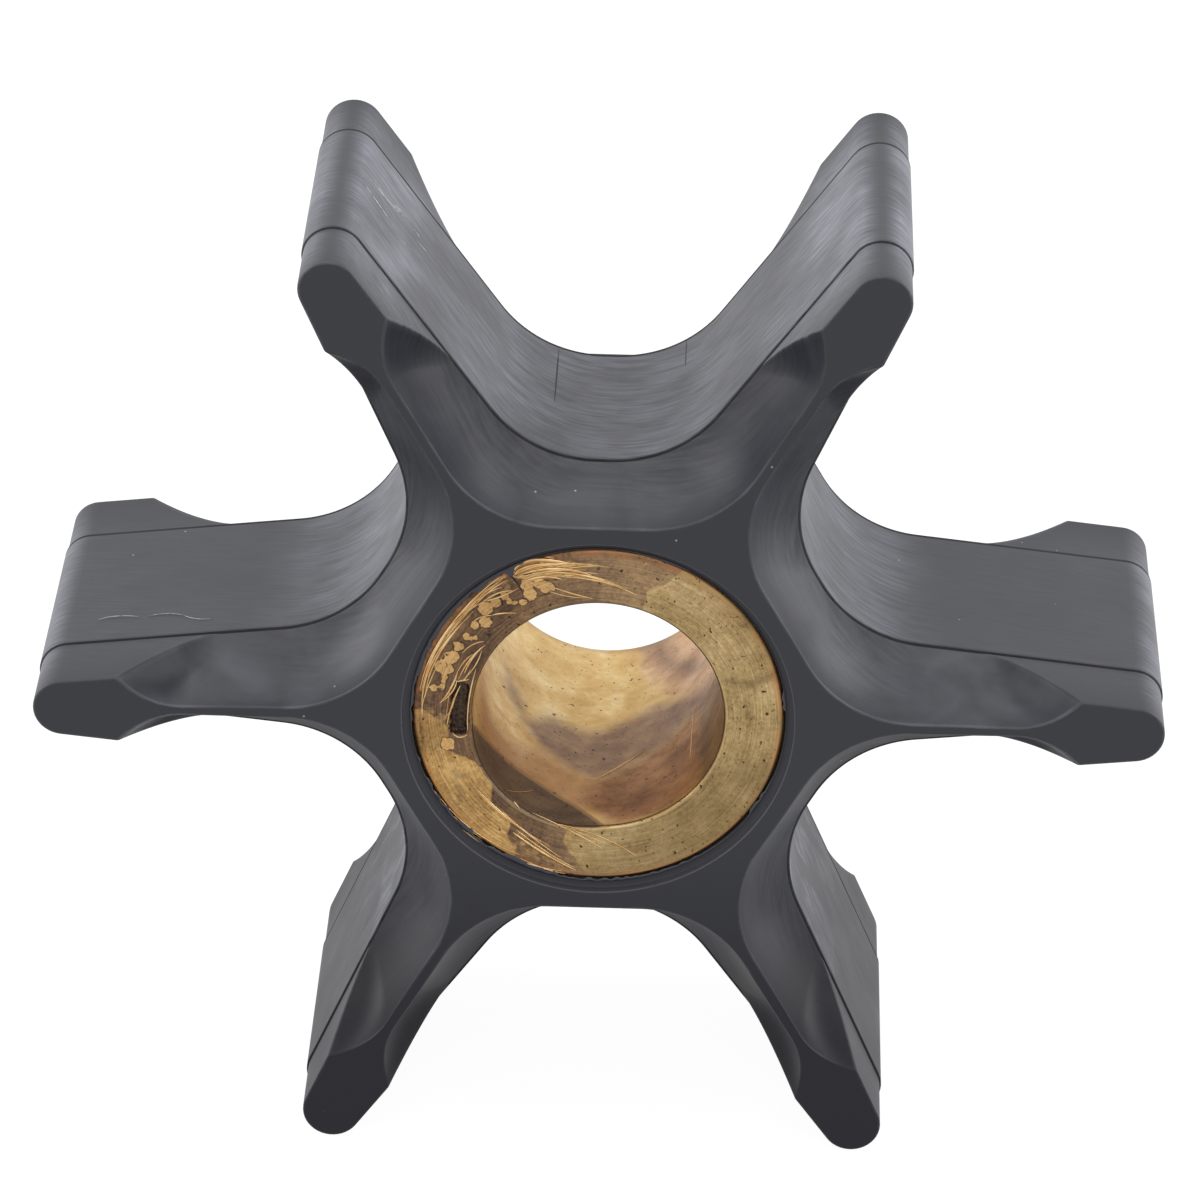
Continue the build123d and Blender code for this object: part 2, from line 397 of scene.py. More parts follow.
def stations(size):
    """The rows of the star's skin from the front end face to the middle.

    Each row has an axial value, a distance in from the end face, an offset outwards, an offset inwards and
    the depth of painted shade at the parting line at the front and at the rear.
    """
    half, band = size.width / 2, size.band_width / 2
    zone = half - band
    quarter = np.linspace(0, math.pi / 2, ROUND_STEPS + 1)
    behind, inside = size.edge_round * (1 - np.cos(quarter)), size.edge_round * (1 - np.sin(quarter))
    rows = [(depth, 0, inward, 0, 0) for depth, inward in zip(behind, inside)]
    first, last = size.edge_round + EDGE_GAP, zone + GROOVE[0][0] * MM
    crowd = np.sin(np.linspace(0, math.pi / 2, SCOOP_STEPS))
    rows += [(mix(first, last, share), 0, 0, 0, 0) for share in crowd[:-1]]
    rows += [(zone + place * MM, lift * MM, 0, *shades) for place, lift, *shades in GROOVE]
    across = np.arange(BAND_STEPS + 1) / BAND_STEPS
    rows += [(mix(zone + BAND_GAP, half, share), size.step, 0, 0, 0) for share in across]
    depth, proud, inward, *shades = np.array(rows).T
    return half - depth, np.minimum(depth, zone), proud, inward, shades


def star_parts(size):
    """The star's skin: a grid of outline by station for its walls, one for each end face and a turned seat.

    Each end face joins the outline to the recess's circle, and past the circle to the middle line of each
    vane. The seat is a stepped profile turned about the bore axis.
    """
    axial, rise, proud, inward, shades = stations(size)
    half = half_outline(size, rise, proud)
    outline, turns = all_round(half, size.vanes)
    outline = drooped(inset(outline, inward), turns, size)
    axial = np.concatenate([axial, -axial[-2::-1]])
    outline = np.concatenate([outline, outline[-2::-1]])
    shade = np.concatenate([shades[0], shades[1][-2::-1]])
    rise = np.concatenate([rise, rise[-2::-1]])

    plain = all_round(half[-1:], size.vanes)[0][0]
    steps = np.linalg.norm(np.roll(plain, -1, axis=0) - plain, axis=1)
    u = np.concatenate([[0], np.cumsum(steps)]) / steps.sum()
    v = mix(*WALL_SKIN, (axial + size.width / 2) / size.width)
    walls = closed_grid(standing(outline, axial[:, None]), u, v)

    fan = SPANS["floor"] + SPANS["arc"]
    pitch = math.pi / size.vanes
    mouth = size.ledge_radius + LEDGE_ROUND
    target = np.zeros((1, HALF_POINTS, 2))
    target[0, : fan + 1] = polar(mouth, pitch * (1 - np.arange(fan + 1) / fan))
    tip_centre = half[0, -1, 0] - half[0, -SPANS["tip"] - 1, 1]
    target[0, fan + 1 :, 0] = np.minimum(half[0, fan + 1 :, 0], tip_centre)
    target, turns = all_round(target, size.vanes)
    target = drooped(target, turns, size)[0]
    inwards = np.array(FACE_SHARES)
    faces = []
    for end, v in ((0, WALL_SKIN[1]), (-1, WALL_SKIN[0])):
        rows = mix(outline[end][None], target[None], inwards[:, None, None])
        faces.append(closed_grid(standing(rows, axial[end]), u, v + (v - 0.5) * 0.2 * inwards))

    count = 2 * fan * size.vanes
    profile = np.array(LEDGE_PROFILE) * MM
    radius = np.concatenate([profile[:, 0], profile[::-1, 0]])
    depth = np.concatenate([size.width / 2 - profile[:, 1], profile[::-1, 1] - size.width / 2])
    turn = np.arange(count) * TAU / count
    seat = standing(polar(radius[:, None], turn[None]), depth[:, None])
    seat = closed_grid(seat, np.arange(count + 1) / count, np.linspace(0, WALL_SKIN[0], len(radius)))

    skins = [walls, *faces, seat]
    return skins, star_marks(size, plain, outline, rise, shade, skins)


def star_marks(size, plain, outline, rise, shade, skins):
    """Each mark of the star as one array over its walls, its end faces and its seat.

    The place along the outline tells scoop and corner from flank, the distance in from the end face tells
    the end zones from the band, and S-curves of radius and height give the polish and the shade.
    """
    zone = (size.width - size.band_width) / 2
    every = np.ones(outline.shape[:2])
    column = np.arange(HALF_POINTS)
    first = sum(SPANS[name] for name in ("floor", "arc", "side", "head"))
    last = first + SPANS["corner"]

    def repeated(values):
        return np.tile(np.concatenate([values, values[-2:0:-1]]), size.vanes)[None]

    scoop = repeated(between(column, last, first)) * (rise < zone)[:, None]
    corner = repeated((column >= first) & (column <= last)) * (rise < zone - CORNER_GAP)[:, None]
    on_edge = (rise < size.edge_round * 0.99)[:, None] * every

    # Rubbed polish and painted light in one mark: the valleys are polished, and walls that face sideways
    # and the upper side, most at its tips and top, are painted lighter as light falls on them
    along = np.roll(plain, -1, axis=0) - np.roll(plain, 1, axis=0)
    sideways = np.abs(along[:, 1]) / np.linalg.norm(along, axis=1)
    reach, height = np.linalg.norm(outline, axis=2) / MM, outline[..., 1] / MM
    upper = between(height, -8, 0)
    outer = 1 - 0.3 * between(reach, 17, 23) + 0.65 * upper * between(reach, 25, 30)
    outer = outer - 0.6 * (1 - upper) * between(reach, 17, 26)
    # Painted light: the higher, the lighter, and lightest near the top
    painted_top_light = 0.8 + 0.2 * np.tanh(height / 8) + 0.3 * between(height, 22, 28)
    polish_and_painted_light = np.maximum(between(sideways, 0, 0.85), 0.72 * between(reach, 22, 15)) * painted_top_light * outer

    # The lower half lies in its own shade, and so do the scoops near the top
    low = [between(points[:, 2] / MM, -3, -23) for points, *_ in skins]
    low[0] = np.maximum(low[0], (0.65 * scoop * between(height, 13, 22)).ravel())
    whole = {"low": np.concatenate(low)}

    # Painted highlight on the ledge's lip, painted light on the recess wall and painted shade on the recess
    # floor
    lit, sunk = np.concatenate([np.array(LEDGE_PAINTED_LIGHT_AND_SHADE), np.array(LEDGE_PAINTED_LIGHT_AND_SHADE)[:, ::-1]], axis=1)
    marks = {
        # Painted shade along the parting lines and on the recess floor beside the brass
        "crease_painted_shade": (shade[:, None] * every, 0, sunk),
        "ledge": (0 * every, 0, lit),
        "scoop": (scoop, 0, 0),
        # Rounded edges and the corner under the head are lighter: wear, and a painted highlight along them
        "worn": (np.maximum(corner, on_edge), 0, 0),
        "inward": (np.clip(1 - rise / zone, 0, 1)[:, None] * every, 1, 1),
        "polish_and_painted_light": (polish_and_painted_light, 0, 0),
    }
    _, *faces, (seat, _, _) = skins
    rows = 2 * len(LEDGE_PROFILE)
    for key, (wall, end, seated) in marks.items():
        ends = [np.full(len(points), float(end)) for points, *_ in faces]
        seated = np.broadcast_to(np.reshape(seated, (-1, 1)), (rows, len(seat) // rows))
        whole[key] = np.concatenate([wall.ravel(), *ends, seated.ravel()])
    return whole


# ---------------------------------------------------------------- bush

BUSH_COLUMNS = 720
# Rows along the outside, over the front face, down the worn and the plain part of the bore, over the back
OUTSIDE_ROWS, FACE_ROWS, WORN_ROWS, PLAIN_ROWS, BACK_ROWS = 4, 46, 32, 28, 8
# Depths at which the rows of the worn part end and those of the plain part begin
WORN_END = (4.2 * MM, 4.6 * MM)
# Depths behind the front face to which its marks and the wear's reach, in millimetres
FACE_REACH, WEAR_REACH = 0.6, 4.5
# The gouge in the front face: its place as an angle in degrees and a radius, and its sizes, in millimetres
GOUGE = {
    "angle": 178.0,
    "radius": 8.1,
    "length": 3.5,
    "width": 1.12,
    "corner": 0.35,
    "depth": 0.5,
    "side": 0.16,
    "ragged": 0.09,
}
# Patches on the front face, each an outline of plane points in millimetres: oxide film, scraped fans, film
# that is breaking up, and dark smears
FILM = (
    (
        (4.9, 9.8), (4.12, 8.96), (2.71, 8.3), (2.62, 7.59), (2.5, 6.8), (0.0, 5.0), (-4.5, 4.0),
        (-5.5, 0.0), (-5.6, -3.0), (-4.6, -5.2), (-2.9, -6.8), (-1.66, -7.66), (-1.96, -8.35),
        (-1.1, -9.7), (-0.1, -11.4), (-2.5, -11.4), (-4.9, -10.0), (-4.7, -8.9), (-5.25, -8.0),
        (-5.0, -7.2), (-5.6, -6.6), (-6.25, -5.73), (-6.15, -4.7), (-7.08, -3.28), (-8.73, -2.5),
        (-8.73, -0.9), (-9.3, -0.5), (-10.07, 0.11), (-11.6, 0.3), (-11.6, 4.0), (-9.2, 8.2),
        (-5.0, 11.0), (0.0, 12.0), (4.9, 11.2),
    ),
)
BARE = (
    (
        (-5.22, 9.09), (-4.74, 9.51), (-3.87, 9.92), (-2.99, 10.25), (-1.53, 9.97), (0.16, 9.87),
        (-1.52, 9.6), (-2.62, 9.34), (-1.59, 9.19), (0.23, 8.78), (-2.1, 9.05), (-3.49, 8.9),
        (-2.61, 8.45), (-3.56, 8.67), (-4.89, 8.9),
    ),
    (
        (-10.49, 1.28), (-10.12, 2.89), (-9.35, 4.5), (-8.32, 6.11), (-7.3, 7.3), (-6.28, 8.49),
        (-5.55, 9.11), (-5.4, 8.97), (-6.57, 7.91), (-7.3, 6.89), (-8.32, 5.7), (-9.05, 4.51),
        (-9.86, 3.06), (-10.3, 1.37),
    ),
)
MOTTLED = (
    (
        (-10.82, 0.34), (-9.78, 0.29), (-8.74, -0.02), (-8.81, -1.21), (-9.11, -1.93), (-9.92, -2.38),
        (-10.7, -2.14),
    ),
    (
        (-5.04, -7.79), (-4.52, -7.61), (-3.0, -8.94), (-1.49, -10.02), (-2.39, -10.13), (-3.75, -9.74),
        (-4.88, -8.82),
    ),
    ((-5.3, 8.9), (-4.7, 8.5), (-4.9, 7.6), (-6.2, 6.9), (-7.1, 6.3), (-7.4, 6.8), (-6.5, 7.8)),
)
SMEARED = (
    ((7.0, 2.8), (8.8, 2.7), (10.3, 3.5), (10.4, 2.7), (8.9, 2.15), (7.1, 2.3)),
    ((2.9, 9.3), (3.8, 9.9), (4.6, 9.5), (4.0, 9.1)),
)
# Stained patches on the bore's wall, and a strip of painted shade on its right side, each an outline of
# points: the run round the wall from +X and the depth behind the front face, in millimetres
MAUVE = (
    (
        (-3.2, 10.4), (-6.0, 12.8), (-8.3, 13.9), (-10.6, 12.5), (-12.3, 11.4), (-14.6, 12.0),
        (-16.7, 9.8), (-15.1, 8.0), (-13.4, 6.7), (-11.8, 6.0), (-9.7, 7.2), (-7.5, 8.5), (-6.0, 9.6),
        (-4.6, 9.2),
    ),
    ((-4.4, 15.0), (-5.6, 15.2), (-8.0, 18.8), (-9.0, 22.5), (-8.2, 22.5), (-6.9, 18.8)),
    ((-17.2, 12.6), (-18.3, 13.8), (-18.0, 11.6), (-16.6, 10.6)),
)
PINK = (
    ((-0.8, 10.5), (-5.2, 11.0), (-8.4, 17.0), (-9.8, 23.0), (-1.0, 23.0)),
)
COPPER = (
    (
        (-4.9, 11.0), (-6.0, 9.6), (-7.5, 8.5), (-9.7, 7.2), (-11.8, 5.9), (-12.4, 3.2), (-10.4, 0.3),
        (-4.2, 0.1), (-4.0, 2.5), (-4.3, 6.0),
    ),
)
PAINTED_SHADE_OUTLINE = (
    ((-3.2, 10.8), (-4.6, 9.6), (-4.7, 5.0), (-4.2, 0.0), (0.6, 0.0), (-0.3, 5.0), (-1.6, 9.0)),
)
ORANGE = (
    (
        (-21.2, 8.0), (-19.6, 6.2), (-17.8, 5.8), (-15.4, 7.6), (-13.2, 6.4), (-11.6, 5.4),
        (-10.8, 2.0), (-14.0, 2.0), (-21.0, 2.0),
    ),
)
FACE_PATCHES = {"film": FILM, "bare": BARE, "mottled": MOTTLED, "smeared": SMEARED}
# The bore's patches with the widths of their soft edges, in millimetres
BORE_PATCHES = {
    "pink": (PINK, 2.4),
    "orange": (ORANGE, 2.4),
    "copper": (COPPER, 2.2),
    "mauve": (MAUVE, 2.4),
    "painted_shade_strip": (PAINTED_SHADE_OUTLINE, 1.2),
}
# Drops of cleaner that lifted the film: x, z and radius in millimetres
DROPS = (
    (-6.62, 5.95, 0.37), (-7.21, 5.76, 0.26), (-8.16, 4.37, 0.3), (-8.53, 3.65, 0.41),
    (-9.12, 3.0, 0.41), (-8.75, 2.84, 0.3), (-8.89, 2.3, 0.18), (-9.04, 2.03, 0.12),
    (-9.63, 1.61, 0.24), (-9.08, 1.71, 0.2), (-8.73, -2.05, 0.38), (-6.63, 6.88, 0.43),
    (-6.0, 7.26, 0.29), (-4.43, 7.37, 0.18), (-4.03, 7.9, 0.37), (-4.22, 8.47, 0.37),
    (-3.19, 8.33, 0.33), (-2.78, 8.34, 0.18), (-3.56, 8.49, 0.27), (-7.69, 5.01, 0.17),
    (-7.43, 4.92, 0.12), (-7.2, 4.95, 0.15), (-6.41, 6.88, 0.3), (-5.53, 7.69, 0.27),
    (-5.23, 7.36, 0.15), (-4.94, 7.29, 0.12),
)


def distance_to_edges(x, z, outlines):
    """Signed distance from points to the nearest of some closed outlines: positive inside one.

    The distance is to the nearest of an outline's edges, each taken as a segment, and a point is inside
    when a ray from it crosses the edges an odd number of times.
    """
    signed = []
    for corners in outlines:
        best = np.full(x.shape, np.inf)
        inside = np.zeros(x.shape, bool)
        for (ax, az), (bx, bz) in zip(corners, np.roll(corners, -1, axis=0)):
            ex, ez = bx - ax, bz - az
            t = np.clip(((x - ax) * ex + (z - az) * ez) / (ex**2 + ez**2), 0, 1)
            best = np.minimum(best, np.hypot(x - ax - t * ex, z - az - t * ez))
            if bz != az:
                inside ^= ((z < az) != (z < bz)) & (x < ax + (z - az) / ez * ex)
        signed.append(np.where(inside, best, -best))
    return np.max(signed, axis=0)


def gouge_depth(x, z):
    """Depth of the gouge under plane points: full inside a ragged slot, and falling off over its side."""
    turn = math.radians(GOUGE["angle"])
    out = x * math.cos(turn) + z * math.sin(turn) - GOUGE["radius"] * MM
    along = -x * math.sin(turn) + z * math.cos(turn)
    corner = GOUGE["corner"] * MM
    beside = np.maximum(np.abs(out) - GOUGE["width"] * MM / 2 + corner, 0)
    beyond = np.maximum(np.abs(along) - GOUGE["length"] * MM / 2 + corner, 0)
    ripple = np.sin(along / (0.21 * MM)) + np.sin(along / (0.083 * MM) + 40 * out / MM)
    inside = corner - np.hypot(beside, beyond) + GOUGE["ragged"] * MM / 2 * ripple
    return GOUGE["depth"] * MM * smooth(inside / (GOUGE["side"] * MM))


def worn_bore(size, turn, depth):
    """Radius of the front of the bore, and how far the wear has bitten into it.

    The radius is the larger of the bore's and that of a leaning cylinder. At each depth the cylinder is a
    circle of the wear radius whose centre lies off the axis towards the wear angle, by less the deeper.
    """
    shift = size.bore + size.wear_bite * (1 - depth / size.wear_depth) - size.wear_radius
    off = turn - size.wear_angle
    reach = shift * np.cos(off) + np.sqrt(size.wear_radius**2 - (shift * np.sin(off)) ** 2)
    return np.maximum(size.bore, reach), reach - size.bore


def bush_parts(size):
    """The bush: a stepped profile turned about the bore axis, with closer rows at the front.

    On the front face the gouge sinks the surface by its depth inside a slot whose sides are an S-curve.
    """
    turn = (np.arange(BUSH_COLUMNS) * TAU / BUSH_COLUMNS)[None]
    half, rim, mouth = size.half_length, size.rim_chamfer, size.bore_chamfer
    rows = []

    def add(radius, axial, v):
        rows.append((np.broadcast_to(radius, turn.shape), np.broadcast_to(axial, turn.shape), v))

    for share in np.linspace(0, 1, OUTSIDE_ROWS):
        add(size.radius, mix(rim - half, half - rim, share), 0.02 + 0.1 * share)
    front_bore = worn_bore(size, turn, 0)[0] + mouth
    for share in np.linspace(0, 1, FACE_ROWS):
        radius = mix(size.radius - rim, front_bore, share)
        x, z = radius * np.cos(turn), radius * np.sin(turn)
        add(radius, half - gouge_depth(x, z), 0.15 + 0.3 * share)
    worn_rows = np.linspace(mouth, WORN_END[0], WORN_ROWS)
    plain_rows = np.linspace(WORN_END[1], 2 * half - mouth, PLAIN_ROWS)
    for depth in np.concatenate([worn_rows, plain_rows]):
        add(worn_bore(size, turn, depth)[0], half - depth, 0.5 + 0.3 * depth / (2 * half))
    for share in np.linspace(0, 1, BACK_ROWS):
        add(mix(size.bore + mouth, size.radius - rim, share), -half, 0.85 + 0.1 * share)
    add(size.radius, rim - half, 0.98)
    radius = np.concatenate([r for r, _, _ in rows])
    axial = np.concatenate([a for _, a, _ in rows])
    v = np.array([v for _, _, v in rows])
    plane = polar(radius, turn)
    grid = closed_grid(standing(plane, axial), np.arange(BUSH_COLUMNS + 1) / BUSH_COLUMNS, v)
    return [grid], bush_marks(size, turn, radius, (half - axial) / MM, front_bore)


def bush_marks(size, turn, radius, depth, front_bore):
    """Each mark of the bush, from the angle and radius of its points and their depth in millimetres.

    A patch on the front face is the signed distance to its outline, and one in the bore is an S-curve over
    that distance. The other marks are S-curves and shares of x, z, radius and depth.
    """
    rim, mouth = size.rim_chamfer, size.bore_chamfer
    x, z = np.moveaxis(polar(radius, turn) / MM, -1, 0)
    front = depth < FACE_REACH
    lifted = np.max([r - np.hypot(x - cx, z - cz) for cx, cz, r in DROPS], axis=0)
    wear = np.where(depth < WEAR_REACH, worn_bore(size, turn, depth * MM)[1] / MM, -1)
    bore = smooth((size.bore + 0.5 * mouth + np.maximum(wear, 0) * MM - radius) / (0.3 * mouth))
    around = np.broadcast_to((turn - TAU * (turn > 0.5 * math.pi)) * size.bore / MM, x.shape)
    rim_side = smooth(0.5 + 0.6 * (x + z) / (size.radius / MM))
    marks = {
        "lifted": np.where(front, np.clip(lifted, -1, 1), -1),
        "left": between(x, 1.5, -5.5) * front,
        # Painted shade: the lower right of the front face is darkened
        "painted_shade_lower_right": between(x - z, 2, 13) * between(z, 0, -4) * front,
        "rim": smooth(1 - (size.radius - radius) / (0.75 * MM)) * mix(0.8, 1, rim_side),
        "mouth": np.isclose(depth, mouth / MM) * 1.0,
        # Painted highlight: a pale line along the front edge of the mouth, strongest on its lower right
        "lip_highlight": np.isclose(radius, front_bore) * front * between(x - z, -6, 3),
        "wear": np.clip(wear, -1, 1),
        "bore": bore,
        "sunk": np.clip(depth / 0.4, 0, 1) * (bore < 0.5) * (radius < size.radius - 1.1 * rim) * front,
    }
    for key, outlines in FACE_PATCHES.items():
        marks[key] = np.where(front, distance_to_edges(x, z, outlines), -1)
    for key, (outlines, soft_edge) in BORE_PATCHES.items():
        marks[key] = smooth(0.5 + distance_to_edges(around, depth, outlines) / soft_edge) * bore
    return marks


# How high the flash stands, how far its foot reaches over the rubber, and how far its edge ripples
FLASH_HEIGHT = 0.05 * MM
FLASH_FOOT = 0.06 * MM
FLASH_RIPPLE = 0.025 * MM
# Radius at which the torn edge is clear of the brass, and free of ripples
FLASH_CLEAR = 10.93 * MM
# Across the flash from its torn edge to its foot: share of the way, and share of its height
FLASH_SECTION = ((0, 0), (0.1, 0.5), (0.3, 0.85), (0.6, 1), (1, 0.9), (1, -0.4), (0, -0.4))
# Lumps of torn rubber: how many, between which angles in radians, and their least and greatest size in
# millimetres
LUMPS = (46, (1.9, 4.9), (0.03, 0.16))
# Inner edge of the flash: angle in degrees and radius in millimetres
FLASH_EDGE = (
    (-180, 10.86), (-169, 10.93), (-155, 10.9), (-144, 10.86), (-139, 10.8), (-135.5, 10.68),
    (-133, 10.62), (-131, 10.86), (-127, 10.92), (-124, 10.74), (-120, 10.8), (-114, 10.66),
    (-108, 10.78), (-98, 10.88), (-86, 10.9), (-75, 10.82), (-62, 10.84), (-50, 10.9), (-36, 10.93),
    (-33, 10.72), (-28, 10.78), (-18, 10.92), (3, 10.93), (5, 10.75), (9, 10.78), (11, 10.93),
    (60, 10.93), (68, 10.8), (72, 10.86), (90, 10.92), (112, 10.88), (117.5, 10.75), (119.5, 10.4),
    (121.5, 10.78), (130, 10.68), (136, 10.82), (144, 10.66), (155, 10.72), (163, 10.7), (170, 10.9),
    (174, 10.74), (180, 10.86),
)


def flash_parts(size):
    """Ragged rubber flash: a low ring over the bush's front edge whose inner radius varies round it.

    The inner edge is the list of places joined by straight runs, with two fine ripples and some seeded
    bell-shaped lumps on its left, and the same section rises from it all the way round.
    """
    turn = np.linspace(-math.pi, math.pi, BUSH_COLUMNS, endpoint=False)
    edge = np.interp(np.degrees(turn), *np.array(FLASH_EDGE).T) * MM
    ripple = np.sin(71 * turn) + np.sin(113 * turn + 2 * np.sin(9 * turn))
    edge = edge + FLASH_RIPPLE * ripple * smooth((FLASH_CLEAR - edge) / (0.1 * MM))
    chance = np.random.default_rng(41)
    count, angles, widths = LUMPS
    places = chance.uniform(*angles, (count, 1))
    sizes = chance.uniform(*widths, (count, 1))
    spread = np.mod(turn - places + math.pi, TAU) - math.pi
    edge = edge - (sizes * MM * np.exp(-((spread / (0.03 * sizes**0.5 * 2)) ** 2))).max(axis=0)
    outside = size.radius + FLASH_FOOT
    across, height = np.array(FLASH_SECTION).T
    plane = polar(mix(edge[None], outside, across[:, None]), turn[None])
    points = standing(plane, size.half_length + FLASH_HEIGHT * height[:, None])
    rows = np.concatenate([points, points[:1]])
    grid = closed_grid(rows, np.linspace(0, 1, BUSH_COLUMNS + 1), np.linspace(0, 0.1, len(rows)))
    return [grid]


# ---------------------------------------------------------------- scratches

# Scratches on the bush's front face: three plane points and a width, in millimetres
FACE_SCRATCHES = (
    ((-10.4, 1.2), (-9.34, 4.5), (-6.83, 7.9), 0.18),
    ((-10.34, 1.12), (-9.05, 5.01), (-6.71, 7.65), 0.14),
    ((-10.15, 1.79), (-8.61, 5.69), (-5.57, 9.12), 0.21),
    ((-10.19, -0.4), (-9.96, 2.47), (-8.39, 5.36), 0.16),
    ((-10.07, 0.79), (-9.34, 3.66), (-7.14, 6.86), 0.11),
    ((-9.96, 2.14), (-8.83, 4.68), (-7.36, 6.47), 0.11),
    ((-8.39, 5.44), (-7.15, 7.31), (-5.69, 8.76), 0.11),
    ((-9.34, 4.5), (-8.1, 6.2), (-6.7, 7.32), 0.1),
    ((-9.9, 3.31), (-9.05, 5.01), (-7.8, 6.79), 0.14),
    ((-7.36, 6.85), (-6.27, 8.08), (-5.25, 8.77), 0.12),
    ((-7.07, 6.98), (-5.97, 7.84), (-4.95, 8.03), 0.11),
    ((-6.7, 7.32), (-5.68, 7.68), (-4.65, 8.29), 0.12),
    ((-7.14, 7.23), (-6.41, 7.91), (-5.61, 8.26), 0.09),
    ((-5.18, 9.07), (-3.94, 10.04), (-1.3, 9.79), 0.32),
    ((-5.1, 8.94), (-3.35, 9.73), (-0.27, 9.87), 0.19),
    ((-4.95, 8.94), (-2.76, 9.53), (-0.41, 9.16), 0.24),
    ((-4.81, 8.82), (-3.2, 9.32), (-0.64, 9.53), 0.12),
    ((-4.51, 8.63), (-3.34, 8.99), (-2.17, 8.86), 0.19),
    ((-4.95, 9.03), (-4.23, 9.62), (-2.47, 9.87), 0.26),
    ((-3.34, 9.15), (-1.29, 9.21), (1.73, 8.31), 0.14),
    ((-2.17, 9.02), (0.18, 8.76), (2.18, 7.92), 0.11),
    ((-2.75, 8.35), (-1.42, 7.92), (-0.32, 7.67), 0.12),
    ((-2.96, 8.09), (-1.86, 7.79), (-0.68, 7.71), 0.07),
    ((-1.3, 9.84), (-0.42, 9.82), (0.46, 9.76), 0.06),
    ((-2.17, 9.22), (-0.7, 9.15), (0.92, 8.7), 0.09),
    ((-1.95, 9.36), (-0.85, 9.36), (-0.12, 9.28), 0.06),
    ((-6.23, 6.42), (-5.67, 6.57), (-4.76, 6.61), 0.12),
    ((-7.46, 5.72), (-6.99, 6.23), (-6.18, 6.42), 0.11),
    ((-7.97, 3.87), (-7.35, 4.47), (-6.64, 4.71), 0.1),
    ((-7.83, 2.53), (-7.27, 3.72), (-6.57, 4.5), 0.14),
    ((-8.18, 2.1), (-7.57, 3.38), (-6.86, 4.24), 0.11),
    ((-8.37, 2.18), (-7.93, 3.2), (-7.27, 3.89), 0.1),
    ((-9.26, 0.54), (-8.59, 1.59), (-8.15, 2.86), 0.16),
    ((-9.18, 0.64), (-8.52, 1.34), (-8.22, 2.19), 0.12),
    ((-8.81, -0.9), (-8.51, 0.49), (-8.0, 1.86), 0.14),
    ((-8.91, -0.36), (-8.51, 0.33), (-8.41, 1.0), 0.09),
    ((-7.91, 2.11), (-7.68, 2.37), (-7.44, 2.88), 0.1),
    ((-8.3, 2.05), (-7.93, 2.11), (-7.49, 2.21), 0.1),
    ((-7.68, 2.37), (-7.12, 3.23), (-6.8, 4.16), 0.09),
    ((-7.31, -4.7), (-5.57, -6.57), (-3.15, -8.56), 0.14),
    ((-7.22, -4.9), (-5.11, -7.07), (-2.55, -8.8), 0.09),
    ((-4.96, -7.79), (-3.15, -9.17), (-1.03, -10.37), 0.19),
    ((-4.81, -7.58), (-2.85, -9.16), (-1.18, -10.15), 0.1),
    ((-5.57, -6.4), (-4.06, -7.9), (-1.94, -9.56), 0.11),
    ((-3.85, -6.48), (-1.82, -7.49), (0.45, -8.8), 0.11),
    ((-2.57, -7.17), (0.14, -7.95), (2.48, -9.29), 0.1),
    ((-1.97, -7.29), (-0.16, -8.13), (1.35, -8.77), 0.07),
    ((-4.86, -5.78), (-4.67, -6.03), (-4.52, -6.28), 0.09),
    ((-9.61, -5.06), (-7.21, -7.82), (-4.34, -9.38), 0.09),
    ((-7.96, -7.67), (-5.24, -9.49), (-1.78, -10.42), 0.11),
    ((-4.49, -9.55), (-3.14, -10.21), (-1.7, -10.56), 0.1),
    ((-9.31, -5.82), (-8.11, -7.16), (-6.6, -8.41), 0.07),
    ((2.83, 8.17), (3.56, 8.53), (4.36, 8.88), 0.05),
    ((2.43, 9.9), (2.58, 9.98), (2.65, 10.12), 0.1),
    ((-7.1, 3.0), (-7.53, 0.8), (-7.58, -1.3), 0.12),
    ((-8.48, -1.3), (-8.1, -1.62), (-7.55, -1.4), 0.1),
    ((-8.62, 1.75), (-8.74, 0.7), (-8.88, -0.5), 0.06),
    ((-10.3, -0.49), (-10.0, 1.4), (-8.95, 3.95), 0.1),
    ((-8.06, -7.4), (-5.9, -9.2), (-2.6, -10.55), 0.08),
)
# Scratches on the bore's wall: three places as an angle in degrees and a depth in millimetres, and a width
BORE_SCRATCHES = (
    ((-67.7, 8.93), (-82.1, 7.13), (-91.9, 5.62), 0.16),
    ((-67.0, 8.75), (-76.2, 7.85), (-87.9, 6.11), 0.1),
    ((-41.9, 9.38), (-49.6, 8.53), (-56.9, 6.84), 0.13),
    ((-41.9, 9.31), (-42.4, 6.93), (-42.8, 3.87), 0.13),
    ((-38.1, 10.63), (-41.6, 9.97), (-42.1, 8.79), 0.1),
    ((-134.7, 0.71), (-127.2, 1.56), (-120.5, 2.55), 0.09),
)
# Cracks in the front face, as the scratches are given
FACE_CRACKS = (
    ((-5.45, 9.25), (-5.0, 8.85), (-4.62, 8.3), 0.13),
    ((-4.75, 8.55), (-4.6, 8.2), (-4.42, 7.95), 0.07),
    ((-5.2, 9.0), (-4.4, 9.12), (-3.6, 9.2), 0.06),
    ((-6.9, 7.9), (-6.3, 8.35), (-5.75, 8.75), 0.06),
    ((-3.6, 7.72), (-3.15, 7.86), (-2.75, 8.0), 0.05),
    ((-6.4, 5.42), (-6.0, 5.7), (-5.55, 6.0), 0.05),
)
